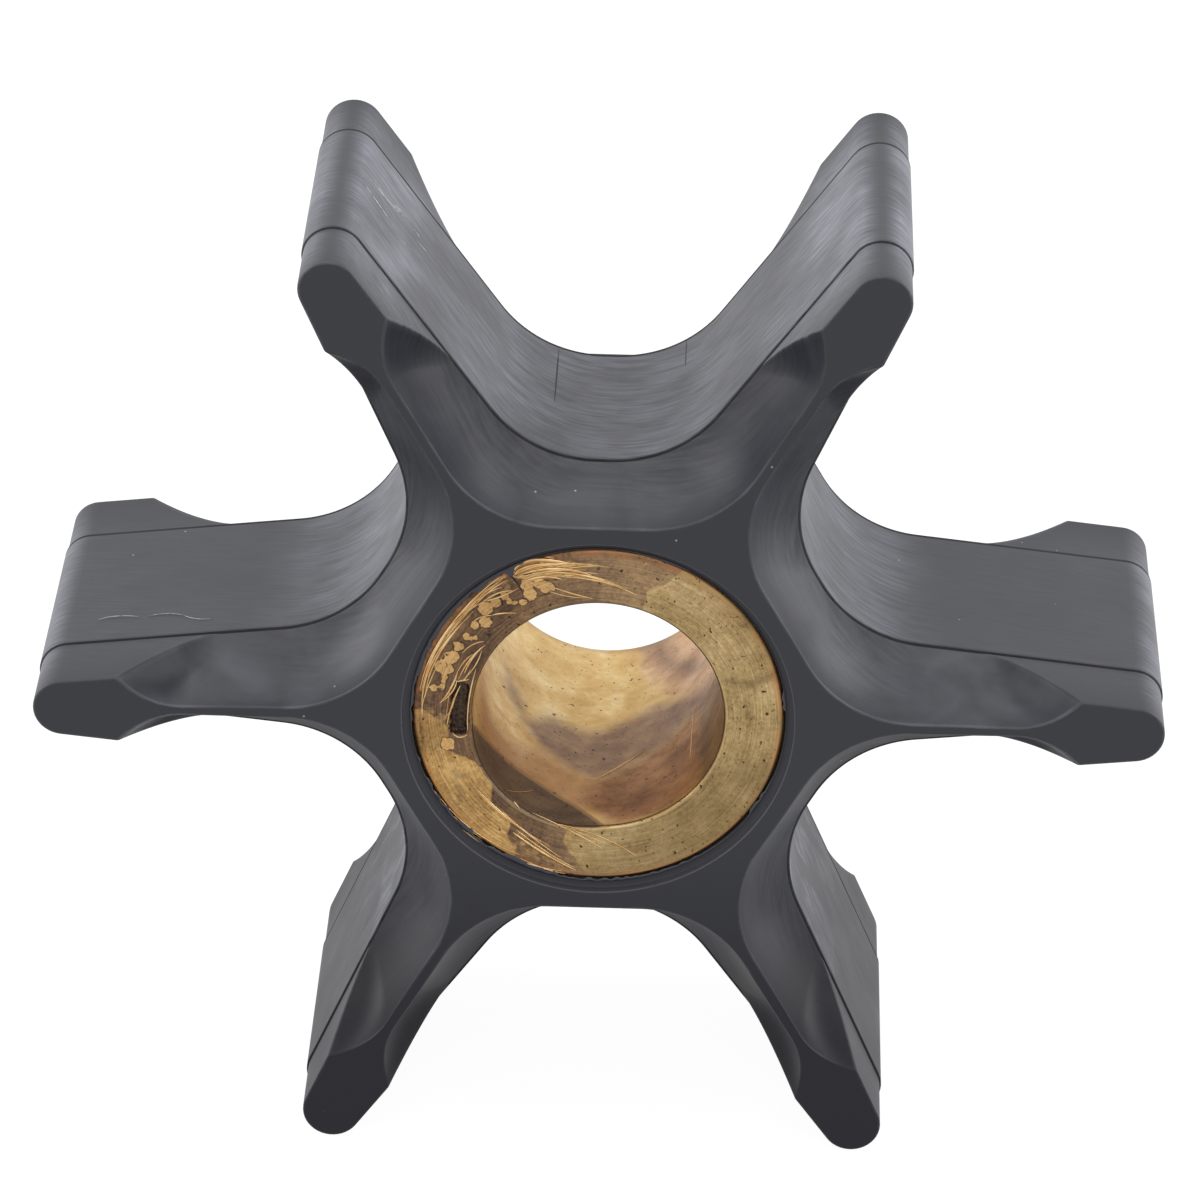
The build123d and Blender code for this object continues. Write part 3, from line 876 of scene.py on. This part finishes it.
# Scuffs on the vanes' flanks: vane, side, three places as radius and axial value, and a width, in
# millimetres
FLANK_SCUFFS = (
    (2, -1, (31.6, -0.12), (30.41, 0.03), (29.03, 0.34), 0.17),
    (2, -1, (30.87, -1.79), (29.25, -1.92), (27.77, -2.58), 0.15),
    (2, -1, (29.01, -2.24), (28.5, -2.55), (27.69, -2.68), 0.13),
    (2, -1, (27.11, -2.35), (26.75, -2.37), (26.41, -2.32), 0.18),
    (2, -1, (28.05, 1.14), (27.72, 0.79), (27.37, 0.66), 0.08),
    (2, -1, (26.66, -1.46), (26.12, -1.54), (25.4, -1.68), 0.08),
    (2, -1, (31.47, -1.45), (30.52, -1.92), (29.78, -1.72), 0.09),
    (3, -1, (29.79, 4.66), (28.69, 4.33), (27.3, 4.61), 0.07),
    (3, -1, (26.84, 4.61), (25.65, 4.46), (24.56, 4.89), 0.08),
    (3, -1, (24.72, 4.77), (23.91, 5.38), (22.92, 5.53), 0.07),
)
# Mould lines across the band in the top valley: x, and where they begin and end along the axis, in
# millimetres
MOULD_LINES = ((-3.1, -6.9, 0.8), (4.5, -6.9, -3.2))
MOULD_LINE_WIDTH = 0.1 * MM
# The face's lean where a mould line crosses it, as the sideways and upward parts of its normal
MOULD_LINE_LEAN = (0.34, 0.94)
# Steps along a ridge, and how far its top stands over the surface and its foot lies under it
SCRATCH_STEPS = 28
SCRATCH_LIFT = 0.012 * MM
SCRATCH_SINK = 0.015 * MM


def strip_grid(middle, across, outwards, width):
    """A low closed ridge along each of a set of lines: four points round, drawn to a point at both ends.

    middle is lines by steps by 3, and across and outwards are unit vectors of the same shape. The ridge's
    half-width falls off towards both ends as the square root of a sine.
    """
    share = np.linspace(0, 1, middle.shape[1])
    taper = np.sqrt(np.sin(math.pi * share))[None, :, None] * width[:, None, None] / 2
    top = middle + SCRATCH_LIFT * outwards * np.minimum(1, taper / (0.02 * MM))
    low = middle - SCRATCH_SINK * outwards
    ring = np.stack([top, middle + across * taper, low, middle - across * taper], 2)
    lines, steps = middle.shape[:2]
    index = np.arange(lines * steps * 4).reshape(lines, steps, 4)
    after = np.roll(index, -1, axis=2)
    quads = np.stack([index[:, :-1], after[:, :-1], after[:, 1:], index[:, 1:]], -1).reshape(-1, 4)
    uv = np.tile([[0, 0], [0, 1], [1, 1], [1, 0]], (len(quads), 1))
    return ring.reshape(-1, 3), quads, uv


def through(points, share):
    """Points of the parabola that passes through the first, second and third of three points."""
    bend = 2 * points[:, 1] - (points[:, 0] + points[:, 2]) / 2
    s = share[None, :, None]
    return points[:, None, 0] * (1 - s) ** 2 + 2 * bend[:, None] * s * (1 - s) + points[:, None, 2] * s**2


def scratch_lines(rows):
    """The parabola through the last three places of each row, and the rows' widths in metres."""
    places = np.array([row[-4:-1] for row in rows])
    return through(places, np.linspace(0, 1, SCRATCH_STEPS)), np.array([row[-1] for row in rows]) * MM


def strips_on(middle, outwards, width):
    """Ridges along lines on a surface, as wide in the cross product of their run and the outward normal."""
    along = np.gradient(middle, axis=1)
    along /= np.linalg.norm(along, axis=2, keepdims=True)
    return strip_grid(middle, np.cross(along, outwards), outwards, width)


def face_strips(rows, level):
    """Ridges on a plane that faces front, from rows of three plane points and a width in millimetres."""
    line, width = scratch_lines(rows)
    middle = standing(line * MM, level)
    return strips_on(middle, np.broadcast_to([0.0, -1.0, 0.0], middle.shape), width)


def bore_strips(size):
    """Ridges on the bore's wall, along lines that are parabolas in angle and depth."""
    line, width = scratch_lines(BORE_SCRATCHES)
    turn, depth = np.radians(line[..., 0]), line[..., 1] * MM
    middle = standing(polar(worn_bore(size, turn, depth)[0], turn), size.half_length - depth)
    inwards = standing(-polar(np.ones_like(turn), turn), 0 * turn)
    return strips_on(middle, inwards, width)


def flank_strips(size):
    """Ridges on the vanes' flanks: a radius and an axial value give a point of the flank's plane."""
    vane, side = np.array([row[:2] for row in FLANK_SCUFFS]).T[:, :, None]
    line, width = scratch_lines(FLANK_SCUFFS)
    reach, axial = np.moveaxis(line * MM, -1, 0)
    slope = math.tan(size.flank_taper)
    half = size.head_thickness / 2 + slope * (size.corner_radius - reach) + size.step
    turn = vane * TAU / size.vanes
    plane = turned(np.stack([reach, side * half], -1), turn)
    normal = turned(np.stack([slope + 0 * half, side + 0 * half], -1) / math.hypot(1, slope), turn)
    outwards = standing(normal, 0 * half)
    return strips_on(standing(plane, axial), outwards, width)


def mould_line_strips(size):
    """Ridges straight across the band in the top valley, at the height of the band's outline at their x."""
    zone = (size.width - size.band_width) / 2
    half = half_outline(size, np.array([zone]), np.array([size.step]))
    outline, _ = all_round(half, size.vanes)
    x, z = outline[0, :, 0], outline[0, :, 1]
    valley = (z > 0) & (np.abs(x) < 6 * MM) & (np.hypot(x, z) < 20 * MM)
    order = np.argsort(x[valley])
    places, begin, end = np.array(MOULD_LINES).T * MM
    height = np.interp(places, x[valley][order], z[valley][order])
    axial = np.linspace(begin, end, SCRATCH_STEPS, axis=1)
    plane = np.stack([places, height], -1)[:, None] + np.zeros((1, SCRATCH_STEPS, 1))
    sideways, upwards = MOULD_LINE_LEAN
    normal = np.stack([-np.sign(places) * sideways, 0 * places, upwards + 0 * places], -1)
    outwards = np.broadcast_to(normal[:, None], plane.shape[:2] + (3,))
    return strips_on(standing(plane, axial), outwards, np.full(len(places), MOULD_LINE_WIDTH))


# ---------------------------------------------------------------- materials

# Sockets of the noise and the range nodes, in the order of the tables that fill them
NOISE = ("Vector", "Scale", "Detail", "Roughness", "Distortion")
RANGE = ("Value", "From Min", "From Max", "To Min", "To Max")
# Finishes of one wavering colour: noise cells per metre and octaves, two tones, roughness and metallic
FINISHES = {
    # Rubber dust and dry scuffs: pale, matt and broken along their length
    "rubbed_rubber": (2600.0, 2.0, ((0.38, "#7b7b81"), (0.58, "#c4c4ca")), 0.75, 0.0),
    # Rubber in a mould's shut line: a hair of deeper black that breaks up along its length
    "shut_line_rubber": (700.0, 2.0, ((0.4, "#1c1d21"), (0.62, "#3d3e43")), 0.7, 0.0),
    # Fresh brass at the bottom of a scratch: bright yellow and clean
    "scraped_brass": (900.0, 3.0, ((0.35, "#c09560"), (0.6, "#dfbc88")), 0.38, 1.0),
    # Dried dirt in a crack: almost black, matt and crumbly
    "dry_grime": (3000.0, 2.0, ((0.35, "#17120f"), (0.65, "#33271e")), 0.9, 0.0),
}
# Tones of the brass from the hollows to the tops of its lathe marks, clouds and grit
BRASS_TONES = {
    "olive": ((0.38, "#7a6444"), (0.46, "#998158"), (0.53, "#ab9267"), (0.6, "#bea67a")),
    "khaki": ((0.38, "#6d5433"), (0.46, "#94734a"), (0.53, "#a98653"), (0.6, "#c39f69")),
    "brown": ((0.38, "#3e2f26"), (0.47, "#5a4433"), (0.55, "#71563e"), (0.62, "#8b6a49")),
    "light_brown": ((0.38, "#5f4b38"), (0.48, "#846a4e"), (0.56, "#9c7f5c"), (0.64, "#b09268")),
    "cleaned": ((0.4, "#9c7646"), (0.58, "#cda56c")),
    "ground": ((0.38, "#5e5045"), (0.6, "#7d6b5b")),
}
# Patches with wavering edges: the mark, the noise and its weight, the sums at which the patch begins and is
# full, and its share where it is full
BRASS_PATCHES = {
    "film": ("film", "wobble", 0.5, 0.22, 0.3, 1.0),
    "bare": ("bare", "wobble", 0.25, 0.09, 0.14, 1.0),
    "mottled": ("mottled", "wobble", 0.5, 0.2, 0.45, 1.0),
    "smeared": ("smeared", "wobble", 0.6, 0.1, 0.6, 0.55),
    "drop_edge": ("lifted", "ragged", 0.45, 0.13, 0.17, 0.7),
    "drop": ("lifted", "ragged", 0.45, 0.2, 0.23, 1.0),
    "ground": ("wear", "wobble", 0.03, 0.012, 0.022, 1.0),
    # The band along the crescent's edge, where a highlight is painted
    "crescent_edge_band": ("wear", "wobble", 0.03, 0.05, 0.035, 1.0),
}
# Stains on the bore's wall, the lowest first, then painted shade: the mark, the share where it is full, and
# its two tones
BORE_STAINS = (
    ("pink", 0.85, "#ad8566", "#cfa683"),
    ("orange", 0.7, "#a97a50", "#a97a50"),
    ("copper", 0.92, "#714930", "#a07148"),
    ("mauve", 0.92, "#765c51", "#93735a"),
    # Painted shade down the bore's right side
    ("painted_shade_strip", 0.9, "#5e4436", "#7c5b42"),
)


def plug(tree, target, sockets):
    """Sets a node's sockets, each to a value, a colour's code, a socket or a node's first output in use."""
    for key, value in sockets.items():
        if isinstance(value, bpy.types.Node):
            value = next(socket for socket in value.outputs if socket.enabled)
        if isinstance(value, bpy.types.NodeSocket):
            tree.links.new(value, target.inputs[key])
        else:
            target.inputs[key].default_value = colour(value) if isinstance(value, str) else value


def node(tree, kind, sockets=None, stops=(), **settings):
    """Adds a node with its settings, the values or links of its sockets and, for a ramp, its stops."""
    made = tree.nodes.new("ShaderNode" + kind)
    for name, value in settings.items():
        setattr(made, name, value)
    plug(tree, made, sockets or {})
    if stops:
        elements = made.color_ramp.elements
        while len(elements) < len(stops):
            elements.new(0.5)
        for element, (place, code) in zip(elements, stops):
            element.position = place
            element.color = colour(code)
    return made


def nodes_by_name(tree, kind, sockets, rows):
    """A node for each named row of values for the same sockets: a short row keeps the last defaults."""
    return {name: node(tree, kind, dict(zip(sockets, row))) for name, row in rows.items()}


def plus(tree, base, *products):
    """base plus some products, each of two or more factors."""
    for first, *middle, last in products:
        for factor in middle:
            first = node(tree, "Math", {0: first, 1: factor}, operation="MULTIPLY")
        base = node(tree, "Math", {0: first, 1: last, 2: base}, operation="MULTIPLY_ADD")
    return base


def coated(tree, base, *coats):
    """A colour under some coats, each laid over what is there by its share."""
    for share, coat in coats:
        base = node(tree, "Mix", {"Factor": share, 6: base, 7: coat}, data_type="RGBA")
    return base


def blank(name):
    """A material with a principled shader, its tree, that shader, and Object coordinates."""
    material = bpy.data.materials.new(name)
    material.use_nodes = True
    tree = material.node_tree
    place = node(tree, "TexCoord").outputs["Object"]
    return material, tree, tree.nodes["Principled BSDF"], place


def read_marks(tree, *names):
    """The named vertex attributes, as sockets."""
    return {name: node(tree, "Attribute", attribute_name=name).outputs["Fac"] for name in names}


def moulded_rubber(size):
    """Black nitrile rubber, compression moulded: near black and dull, grey where it is rubbed and where
    light is painted on, darker where shade is painted.

    The bloom over the black is a sum of products of marks and noises, and may pass 1 where they meet.
    """
    material, tree, shader, place = blank("moulded_rubber")
    mark = read_marks(tree, "crease_painted_shade", "ledge", "scoop", "worn", "inward", "polish_and_painted_light", "low")
    # The streaks waver by some millimetres and lie at a slant of 9 degrees to the section
    skin = node(tree, "UVMap", uv_map="Skin")
    bend = node(tree, "TexNoise", {"Vector": place, "Scale": 90.0, "Detail": 1.0}).outputs["Color"]
    wavering = node(tree, "VectorMath", {0: bend, 1: (0.006, 0.03, 0), 2: skin}, operation="MULTIPLY_ADD")
    slant = node(tree, "Mapping", {"Vector": wavering, "Rotation": (0, 0, 1.72), "Scale": (11.0, 1.0, 1)})
    along = node(tree, "Mapping", {"Vector": slant, "Scale": (130, 8, 1)})
    patterns = {
        # Wiping streaks 0.2 mm apart and some 5 mm long
        "streaks": (along, 1.0, 5.0, 0.66),
        # Cloudy bloom 5 mm across, smears of 3 mm and a moulded grain of 0.15 mm
        "cloud": (place, 200.0, 3.0, 0.5),
        "smear": (place, 300.0, 4.0, 0.5, 0.4),
        "grain": (place, 6500.0, 2.0),
    }
    noise = nodes_by_name(tree, "TexNoise", NOISE, patterns)
    # Dust, a tenth of a millimetre across and about a centimetre apart
    dust = node(tree, "TexVoronoi", {"Vector": place, "Scale": 380.0})
    ranges = {
        "cloudy": (noise["cloud"], 0.36, 0.62, 0.42, 1.05),
        "smeared": (noise["smear"], 0.38, 0.68, 0.15, 0.85),
        "streak": (noise["streaks"], 0.38, 0.64, -0.5, 0.5),
        # Streaks and bloom fade where polish and painted light are less, in the scoops and on the end faces
        "kept": (mark["polish_and_painted_light"], 0.1, 0.7, 0.4, 1.0),
        "wiped": (mark["polish_and_painted_light"], 0, 1.3, 0.14, 1.4),
        "past_scoop": (mark["scoop"], 0, 1, 1.0, 0.15),
        "off_face": (mark["inward"], 0, 1, 1.0, 0.1),
        "scoop_bloom": (mark["polish_and_painted_light"], 0, 1, 0.3, 0.1),
        # Pale rubbed wisps, which lie on the flanks of the lower vanes
        "wisp": (noise["streaks"], 0.44, 0.6),
        "wisp_cloud": (noise["smear"], 0.44, 0.6),
        "lower": (mark["low"], 0.05, 0.3),
        "off_scoop": (mark["scoop"], 0, 1, 1.0, 0.0),
        "flank": (mark["polish_and_painted_light"], 0.02, 0.1),
        "dust": (dust, 0.026, 0.02),
        # The low side is in its own shade, deepest where nothing polishes it
        "shade": (mark["low"], 0, 1, 0.0, 0.85),
        "dull": (mark["polish_and_painted_light"], 0.2, 0.8, 1.0, 0.3),
        "rough": (noise["cloud"], 0, 1, 0.4, 0.56),
    }
    share = nodes_by_name(tree, "MapRange", RANGE, ranges)
    streaky = plus(tree, 0.5, (share["streak"], share["kept"]))
    wiped = plus(tree, 0.42, (streaky, 0.55))
    bloom = plus(
        tree,
        0.0,
        (wiped, share["cloudy"], share["wiped"], share["past_scoop"], share["off_face"]),
        (mark["scoop"], share["smeared"], share["scoop_bloom"]),
        # Edges lighter: wear and a painted highlight
        (mark["worn"], share["smeared"], 0.2),
        # Painted highlight on the ledge's lip and painted light on the recess wall
        (mark["ledge"], 0.6),
        (share["wisp"], share["wisp_cloud"], share["lower"], share["off_scoop"], share["flank"], 1.7),
        (share["dust"], 2.0),
    )
    tones = {"Factor": bloom, 6: size.black, 7: size.grey}
    tone = node(tree, "Mix", tones, data_type="RGBA", clamp_factor=False)
    # Painted shade: the low side and the upper scoops towards #12121a, the parting lines and recess floor
    # towards #08080a
    darker = plus(tree, 0.0, (share["shade"], plus(tree, share["dull"], (mark["scoop"], 0.3))))
    tone = coated(tree, tone, (darker, "#12121a"), (mark["crease_painted_shade"], "#08080a"))
    shaded = node(tree, "MapRange", dict(zip(RANGE, (darker, 0, 0.85, 1.0, 0.62))))
    sheen = plus(tree, 0.0, (plus(tree, 0.46, (streaky, share["off_face"], 0.18)), shaded))
    rough = plus(tree, share["rough"], (mark["crease_painted_shade"], 0.5))
    height = plus(tree, noise["grain"], (share["off_face"], streaky, 0.5))
    bump = node(tree, "Bump", {"Height": height, "Strength": 0.09, "Distance": 0.02 * MM})
    ends = {"Base Color": tone, "Roughness": rough, "Specular IOR Level": sheen, "Normal": bump}
    plug(tree, shader, ends)
    return material


def wavering_finish(name):
    """One of the finishes whose colour wavers between two tones with a noise."""
    scale, detail, tones, rough, metallic = FINISHES[name]
    material, tree, shader, place = blank(name)
    noise = node(tree, "TexNoise", {"Vector": place, "Scale": scale, "Detail": detail})
    tone = node(tree, "ValToRGB", {"Fac": noise}, tones)
    plug(tree, shader, {"Base Color": tone, "Roughness": rough, "Metallic": metallic})
    return material


def turned_brass(size):
    """Brass, turned and dulled in service: matt olive gold under a brown oxide film, stained in the bore.

    Coats of colour lie over each other, each by the share of a mark whose edge a noise makes waver.
    """
    material, tree, shader, place = blank("turned_brass")
    others = ("lifted", "painted_shade_lower_right", "left", "rim", "lip_highlight", "sunk", "mouth", "bore", "wear")
    mark = read_marks(tree, *FACE_PATCHES, *BORE_PATCHES, *others)
    skin = node(tree, "UVMap", uv_map="Skin")
    patterns = {
        # Lathe marks 0.12 mm apart and 4 mm long, and scrapes half as wide
        "lathe": (node(tree, "Mapping", {"Vector": skin, "Scale": (16, 95, 1)}), 1.0, 4.0, 0.6),
        "scrapes": (node(tree, "Mapping", {"Vector": skin, "Scale": (20, 190, 1)}), 1.0, 3.0, 0.6),
        # Clouds of 2.4 mm and 2 mm, stains of 1.2 mm, and what makes the edges of the patches waver
        "clouds": (place, 420.0, 5.0, 0.65),
        "soft": (place, 520.0, 3.0, 0.6, 0.8),
        "stains": (place, 800.0, 3.0, 0.6),
        "wobble": (place, 1500.0, 3.0, 0.55),
        "speckles": (place, 1900.0, 2.0, 0.55),
        "ragged": (place, 2400.0, 2.0, 0.55),
        # Pits of 0.2 mm, grit of 0.2 mm and fine specks
        "pits": (place, 2900.0, 1.0, 0.55),
        "grit": (place, 4800.0, 2.0, 0.55),
        "specks": (place, 5600.0, 1.0, 0.55),
    }
    noise = nodes_by_name(tree, "TexNoise", NOISE, patterns)
    worked = plus(tree, 0.0, (noise["grit"], 0.2), (noise["clouds"], 0.44), (noise["lathe"], 0.36))
    tones = {name: node(tree, "ValToRGB", {"Fac": worked}, stops) for name, stops in BRASS_TONES.items()}
    ranges = {
        "pits": (noise["pits"], 0.7, 0.76),
        "specks": (noise["specks"], 0.7, 0.76),
        "stains": (noise["stains"], 0.56, 0.7),
        "speckles": (noise["speckles"], 0.46, 0.56),
        "rust": (plus(tree, 0.0, (noise["grit"], 0.4), (noise["clouds"], 0.6)), 0.42, 0.58),
    }
    for name, (key, pattern, weight, low, high, full) in BRASS_PATCHES.items():
        ranges[name] = (plus(tree, mark[key], (noise[pattern], weight)), low, high, 0.0, full)
    share = nodes_by_name(tree, "MapRange", RANGE, ranges)

    # The front face: bare metal, the film over it, what has come through the film, and rust at the rim
    field = coated(
        tree,
        tones["olive"],
        (mark["left"], tones["khaki"]),
        (plus(tree, 0.0, (share["stains"], plus(tree, 0.22, (mark["left"], 0.3)))), "#625a40"),
        (share["smeared"], "#5f4d36"),
        # Painted shade: the lower right of the face darkened towards #6d5a3c
        (plus(tree, 0.0, (mark["painted_shade_lower_right"], 0.45)), "#6d5a3c"),
    )
    brown = coated(tree, tones["light_brown"], (mark["left"], tones["brown"]))
    scraped = ((0.38, "#5f452d"), (0.47, "#b58c56"), (0.6, "#dcb77d"))
    face = coated(
        tree,
        field,
        (share["film"], brown),
        (plus(tree, 0.0, (share["mottled"], share["speckles"], 0.75)), tones["khaki"]),
        (share["drop_edge"], "#3a2b20"),
        (share["drop"], tones["cleaned"]),
        (share["bare"], node(tree, "ValToRGB", {"Fac": noise["scrapes"]}, scraped)),
        (plus(tree, 0.0, (mark["rim"], share["rust"])), size.rust),
    )

    # The bore: gold, its stains, painted shade on the right, and the ground crescent with a painted
    # highlight on its edge
    golden = plus(tree, 0.0, (noise["soft"], 0.4), (noise["clouds"], 0.6))
    wall = node(tree, "ValToRGB", {"Fac": golden}, ((0.35, "#c39d5e"), (0.5, "#d5b377"), (0.62, "#e2c994")))
    for name, full, dark, light in BORE_STAINS:
        edge = plus(tree, 0.0, (mark[name], 0.8), (noise["soft"], 0.5))
        stained = node(tree, "MapRange", dict(zip(RANGE, (edge, 0.3, 0.95, 0.0, full))))
        stain = node(tree, "ValToRGB", {"Fac": noise["clouds"]}, ((0.35, dark), (0.62, light)))
        wall = coated(tree, wall, (stained, stain))
    crescent_painted_highlight = plus(tree, 0.0, (share["ground"], share["crescent_edge_band"], 0.5))
    wall = coated(tree, wall, (share["ground"], tones["ground"]), (crescent_painted_highlight, "#c9a97c"))

    dirt = node(tree, "ValToRGB", {"Fac": noise["grit"]}, ((0.35, "#1b1511"), (0.65, "#4b3828")))
    tone = coated(
        tree,
        face,
        (mark["bore"], wall),
        (plus(tree, 0.0, (mark["mouth"], 0.8)), "#4d3c2c"),
        # Painted highlight along the mouth's front edge
        (plus(tree, 0.0, (mark["lip_highlight"], 0.22)), "#dcc491"),
        (plus(tree, 0.0, (share["pits"], 0.85)), size.grime),
        (plus(tree, 0.0, (share["specks"], 0.7)), size.grime),
        (mark["sunk"], dirt),
    )
    # Film and dirt are less metallic than bare brass
    dull = node(tree, "Math", {0: share["film"], 1: mark["sunk"]}, operation="MAXIMUM")
    height = plus(tree, 0.0, (noise["grit"], 0.4), (noise["lathe"], 0.5), (share["pits"], -1.0))
    ends = {
        "Base Color": tone,
        "Metallic": node(tree, "MapRange", {"Value": dull, "To Min": 1.0, "To Max": 0.72}),
        "Roughness": node(tree, "MapRange", dict(zip(RANGE, (worked, 0.35, 0.65, 0.5, 0.36)))),
        "Normal": node(tree, "Bump", {"Height": height, "Strength": 0.3, "Distance": 0.03 * MM}),
    }
    plug(tree, shader, ends)
    return material


def white_sweep():
    """Painted white floor: plain white to the camera and in reflections, with a soft shadow kept."""
    material = bpy.data.materials.new("white_sweep")
    material.use_nodes = True
    tree = material.node_tree
    tree.nodes.remove(tree.nodes["Principled BSDF"])
    lit = node(tree, "BsdfDiffuse", {"Color": "#9c9c9c"})
    shaded = node(tree, "BsdfDiffuse", {"Color": "#5c5c5c"})
    glow = node(tree, "Emission", {"Color": "#ffffff", "Strength": 0.955})
    bright = node(tree, "AddShader", {0: shaded, 1: glow})
    both = node(tree, "MixShader", {0: seen_ray(tree), 1: lit, 2: bright})
    plug(tree, tree.nodes["Material Output"], {"Surface": both})
    return material


def seen_ray(tree):
    """1 for camera, glossy and transmission rays, and 0 for the rest."""
    path = node(tree, "LightPath").outputs
    first = node(tree, "Math", {0: path["Is Camera Ray"], 1: path["Is Glossy Ray"]}, operation="MAXIMUM")
    return node(tree, "Math", {0: first, 1: path["Is Transmission Ray"]}, operation="MAXIMUM")


# ---------------------------------------------------------------- stage

# Where the camera's axis passes the origin, as the camera sees it: to the right and up
AIM = (-0.228 * MM, 1.64 * MM)
# Half of the floor's side, in metres
FLOOR_REACH = 6.0
# Soft boxes: place, width and height in metres, and power in watts
SOFTBOXES = (
    ((-0.05, 0.1, 0.5), (0.5, 0.4), 0.78),
    ((-0.45, 0.02, 0.22), (0.4, 0.4), 1.8),
    ((0.45, 0.02, 0.22), (0.4, 0.4), 1.9),
    ((0.0, -0.16, 0.16), (0.16, 0.1), 0.13),
)
# The surroundings' strength as a light, where they look as strong as 1
SKY_LIGHT = 0.44


def add_floor(scene):
    """A wide square floor at the level of the lowest vane tips."""
    level = STAR_BOX[0].z
    corners = [(-1, -1), (1, -1), (1, 1), (-1, 1)]
    mesh = bpy.data.meshes.new("floor")
    mesh.from_pydata([(x * FLOOR_REACH, y * FLOOR_REACH, level) for x, y in corners], [], [(0, 1, 2, 3)])
    mesh.materials.append(white_sweep())
    ground = bpy.data.objects.new("floor", mesh)
    scene.collection.objects.link(ground)


def add_light(scene):
    """White surroundings, dimmer as a light than they look, and soft boxes above and at both sides."""
    world = bpy.data.worlds.new("studio")
    scene.world = world
    world.use_nodes = True
    tree = world.node_tree
    strength = node(tree, "MapRange", {"Value": seen_ray(tree), "To Min": SKY_LIGHT, "To Max": 1.0})
    plug(tree, tree.nodes["Background"], {"Color": "#ffffff", "Strength": strength})
    for place, (width, height), power in SOFTBOXES:
        lamp = bpy.data.lights.new("softbox", "AREA")
        lamp.shape = "RECTANGLE"
        lamp.size, lamp.size_y = width, height
        lamp.energy = power
        softbox = bpy.data.objects.new("softbox", lamp)
        softbox.location = place
        softbox.rotation_euler = (-Vector(place)).to_track_quat("-Z", "Y").to_euler()
        scene.collection.objects.link(softbox)


def add_camera(scene, size):
    """A long lens above and in front, turned by a small roll."""
    camera = bpy.data.cameras.new("camera")
    camera.lens = size.lens
    camera.sensor_width = 36
    camera.clip_start, camera.clip_end = 0.01, 20
    viewer = bpy.data.objects.new("camera", camera)
    scene.collection.objects.link(viewer)
    scene.camera = viewer
    x, y, level = math.sin(size.azimuth), -math.cos(size.azimuth), math.cos(size.elevation)
    back = Vector((x * level, y * level, math.sin(size.elevation)))
    right = (-back).cross(Vector((0, 0, 1))).normalized()
    up = right.cross(-back)
    side = math.cos(size.roll) * right + math.sin(size.roll) * up
    top = math.cos(size.roll) * up - math.sin(size.roll) * right
    place = AIM[0] * side + AIM[1] * top + size.distance * back
    viewer.matrix_world = Matrix.Translation(place) @ Matrix((side, top, back)).transposed().to_4x4()


# ---------------------------------------------------------------- operators


class IMPELLER_OT_star(bpy.types.Operator):
    """Build the moulded rubber star"""

    bl_idname = "impeller.star"
    bl_label = "Rubber Star"

    def execute(self, context):
        size = context.scene.impeller.star
        parts, marks = star_parts(size)
        star = piece("rubber_star", parts, marks, moulded_rubber(size))
        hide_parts("impeller_rubber")
        return {"FINISHED"}


class IMPELLER_OT_trim(bpy.types.Operator):
    """Build what lies on the rubber: the flash round the bush, the mould lines and the scuffs"""

    bl_idname = "impeller.trim"
    bl_label = "Rubber Marks"

    def execute(self, context):
        size = context.scene.impeller
        pieces = (
            ("rubber_flash", flash_parts(size.bush), bpy.data.materials["moulded_rubber"]),
            ("mould_lines", [mould_line_strips(size.star)], wavering_finish("shut_line_rubber")),
            ("rubber_scuffs", [flank_strips(size.star)], wavering_finish("rubbed_rubber")),
        )
        for name, parts, material in pieces:
            piece(name, parts, {}, material)
        return {"FINISHED"}


class IMPELLER_OT_bush(bpy.types.Operator):
    """Build the turned brass bush"""

    bl_idname = "impeller.bush"
    bl_label = "Brass Bush"

    def execute(self, context):
        size = context.scene.impeller.bush
        parts, marks = bush_parts(size)
        bush = piece("brass_bush", parts, marks, turned_brass(size))
        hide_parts("hub_bush")
        return {"FINISHED"}


class IMPELLER_OT_scratches(bpy.types.Operator):
    """Build the scratches and the cracks in the bush"""

    bl_idname = "impeller.scratches"
    bl_label = "Scratches"

    def execute(self, context):
        size = context.scene.impeller.bush
        scratches = [face_strips(FACE_SCRATCHES, size.half_length), bore_strips(size)]
        cracks = [face_strips(FACE_CRACKS, size.half_length)]
        piece("brass_scratches", scratches, {}, wavering_finish("scraped_brass"))
        piece("brass_cracks", cracks, {}, wavering_finish("dry_grime"))
        return {"FINISHED"}


class IMPELLER_OT_stage(bpy.types.Operator):
    """Set up the floor, the light and the camera"""

    bl_idname = "impeller.stage"
    bl_label = "Stage"

    def execute(self, context):
        scene = context.scene
        scene.view_settings.view_transform = "Standard"
        add_floor(scene)
        add_light(scene)
        add_camera(scene, scene.impeller.stage)
        return {"FINISHED"}


class IMPELLER_PT_panel(bpy.types.Panel):
    """Lists the operators that build the impeller"""

    bl_label = "Impeller"
    bl_space_type = "VIEW_3D"
    bl_region_type = "UI"
    bl_category = "Impeller"

    def draw(self, context):
        for operator in OPERATORS:
            self.layout.operator(operator.bl_idname)


OPERATORS = (IMPELLER_OT_star, IMPELLER_OT_trim, IMPELLER_OT_bush, IMPELLER_OT_scratches, IMPELLER_OT_stage)
CLASSES = (StarSettings, BushSettings, StageSettings, ImpellerSettings, *OPERATORS, IMPELLER_PT_panel)


def register():
    for each in CLASSES:
        bpy.utils.register_class(each)
    bpy.types.Scene.impeller = PointerProperty(type=ImpellerSettings)


def unregister():
    del bpy.types.Scene.impeller
    for each in reversed(CLASSES):
        bpy.utils.unregister_class(each)


def main():
    register()
    bpy.ops.impeller.star()
    bpy.ops.impeller.trim()
    bpy.ops.impeller.bush()
    bpy.ops.impeller.scratches()
    bpy.ops.impeller.stage()


if __name__ == "__main__":
    main()
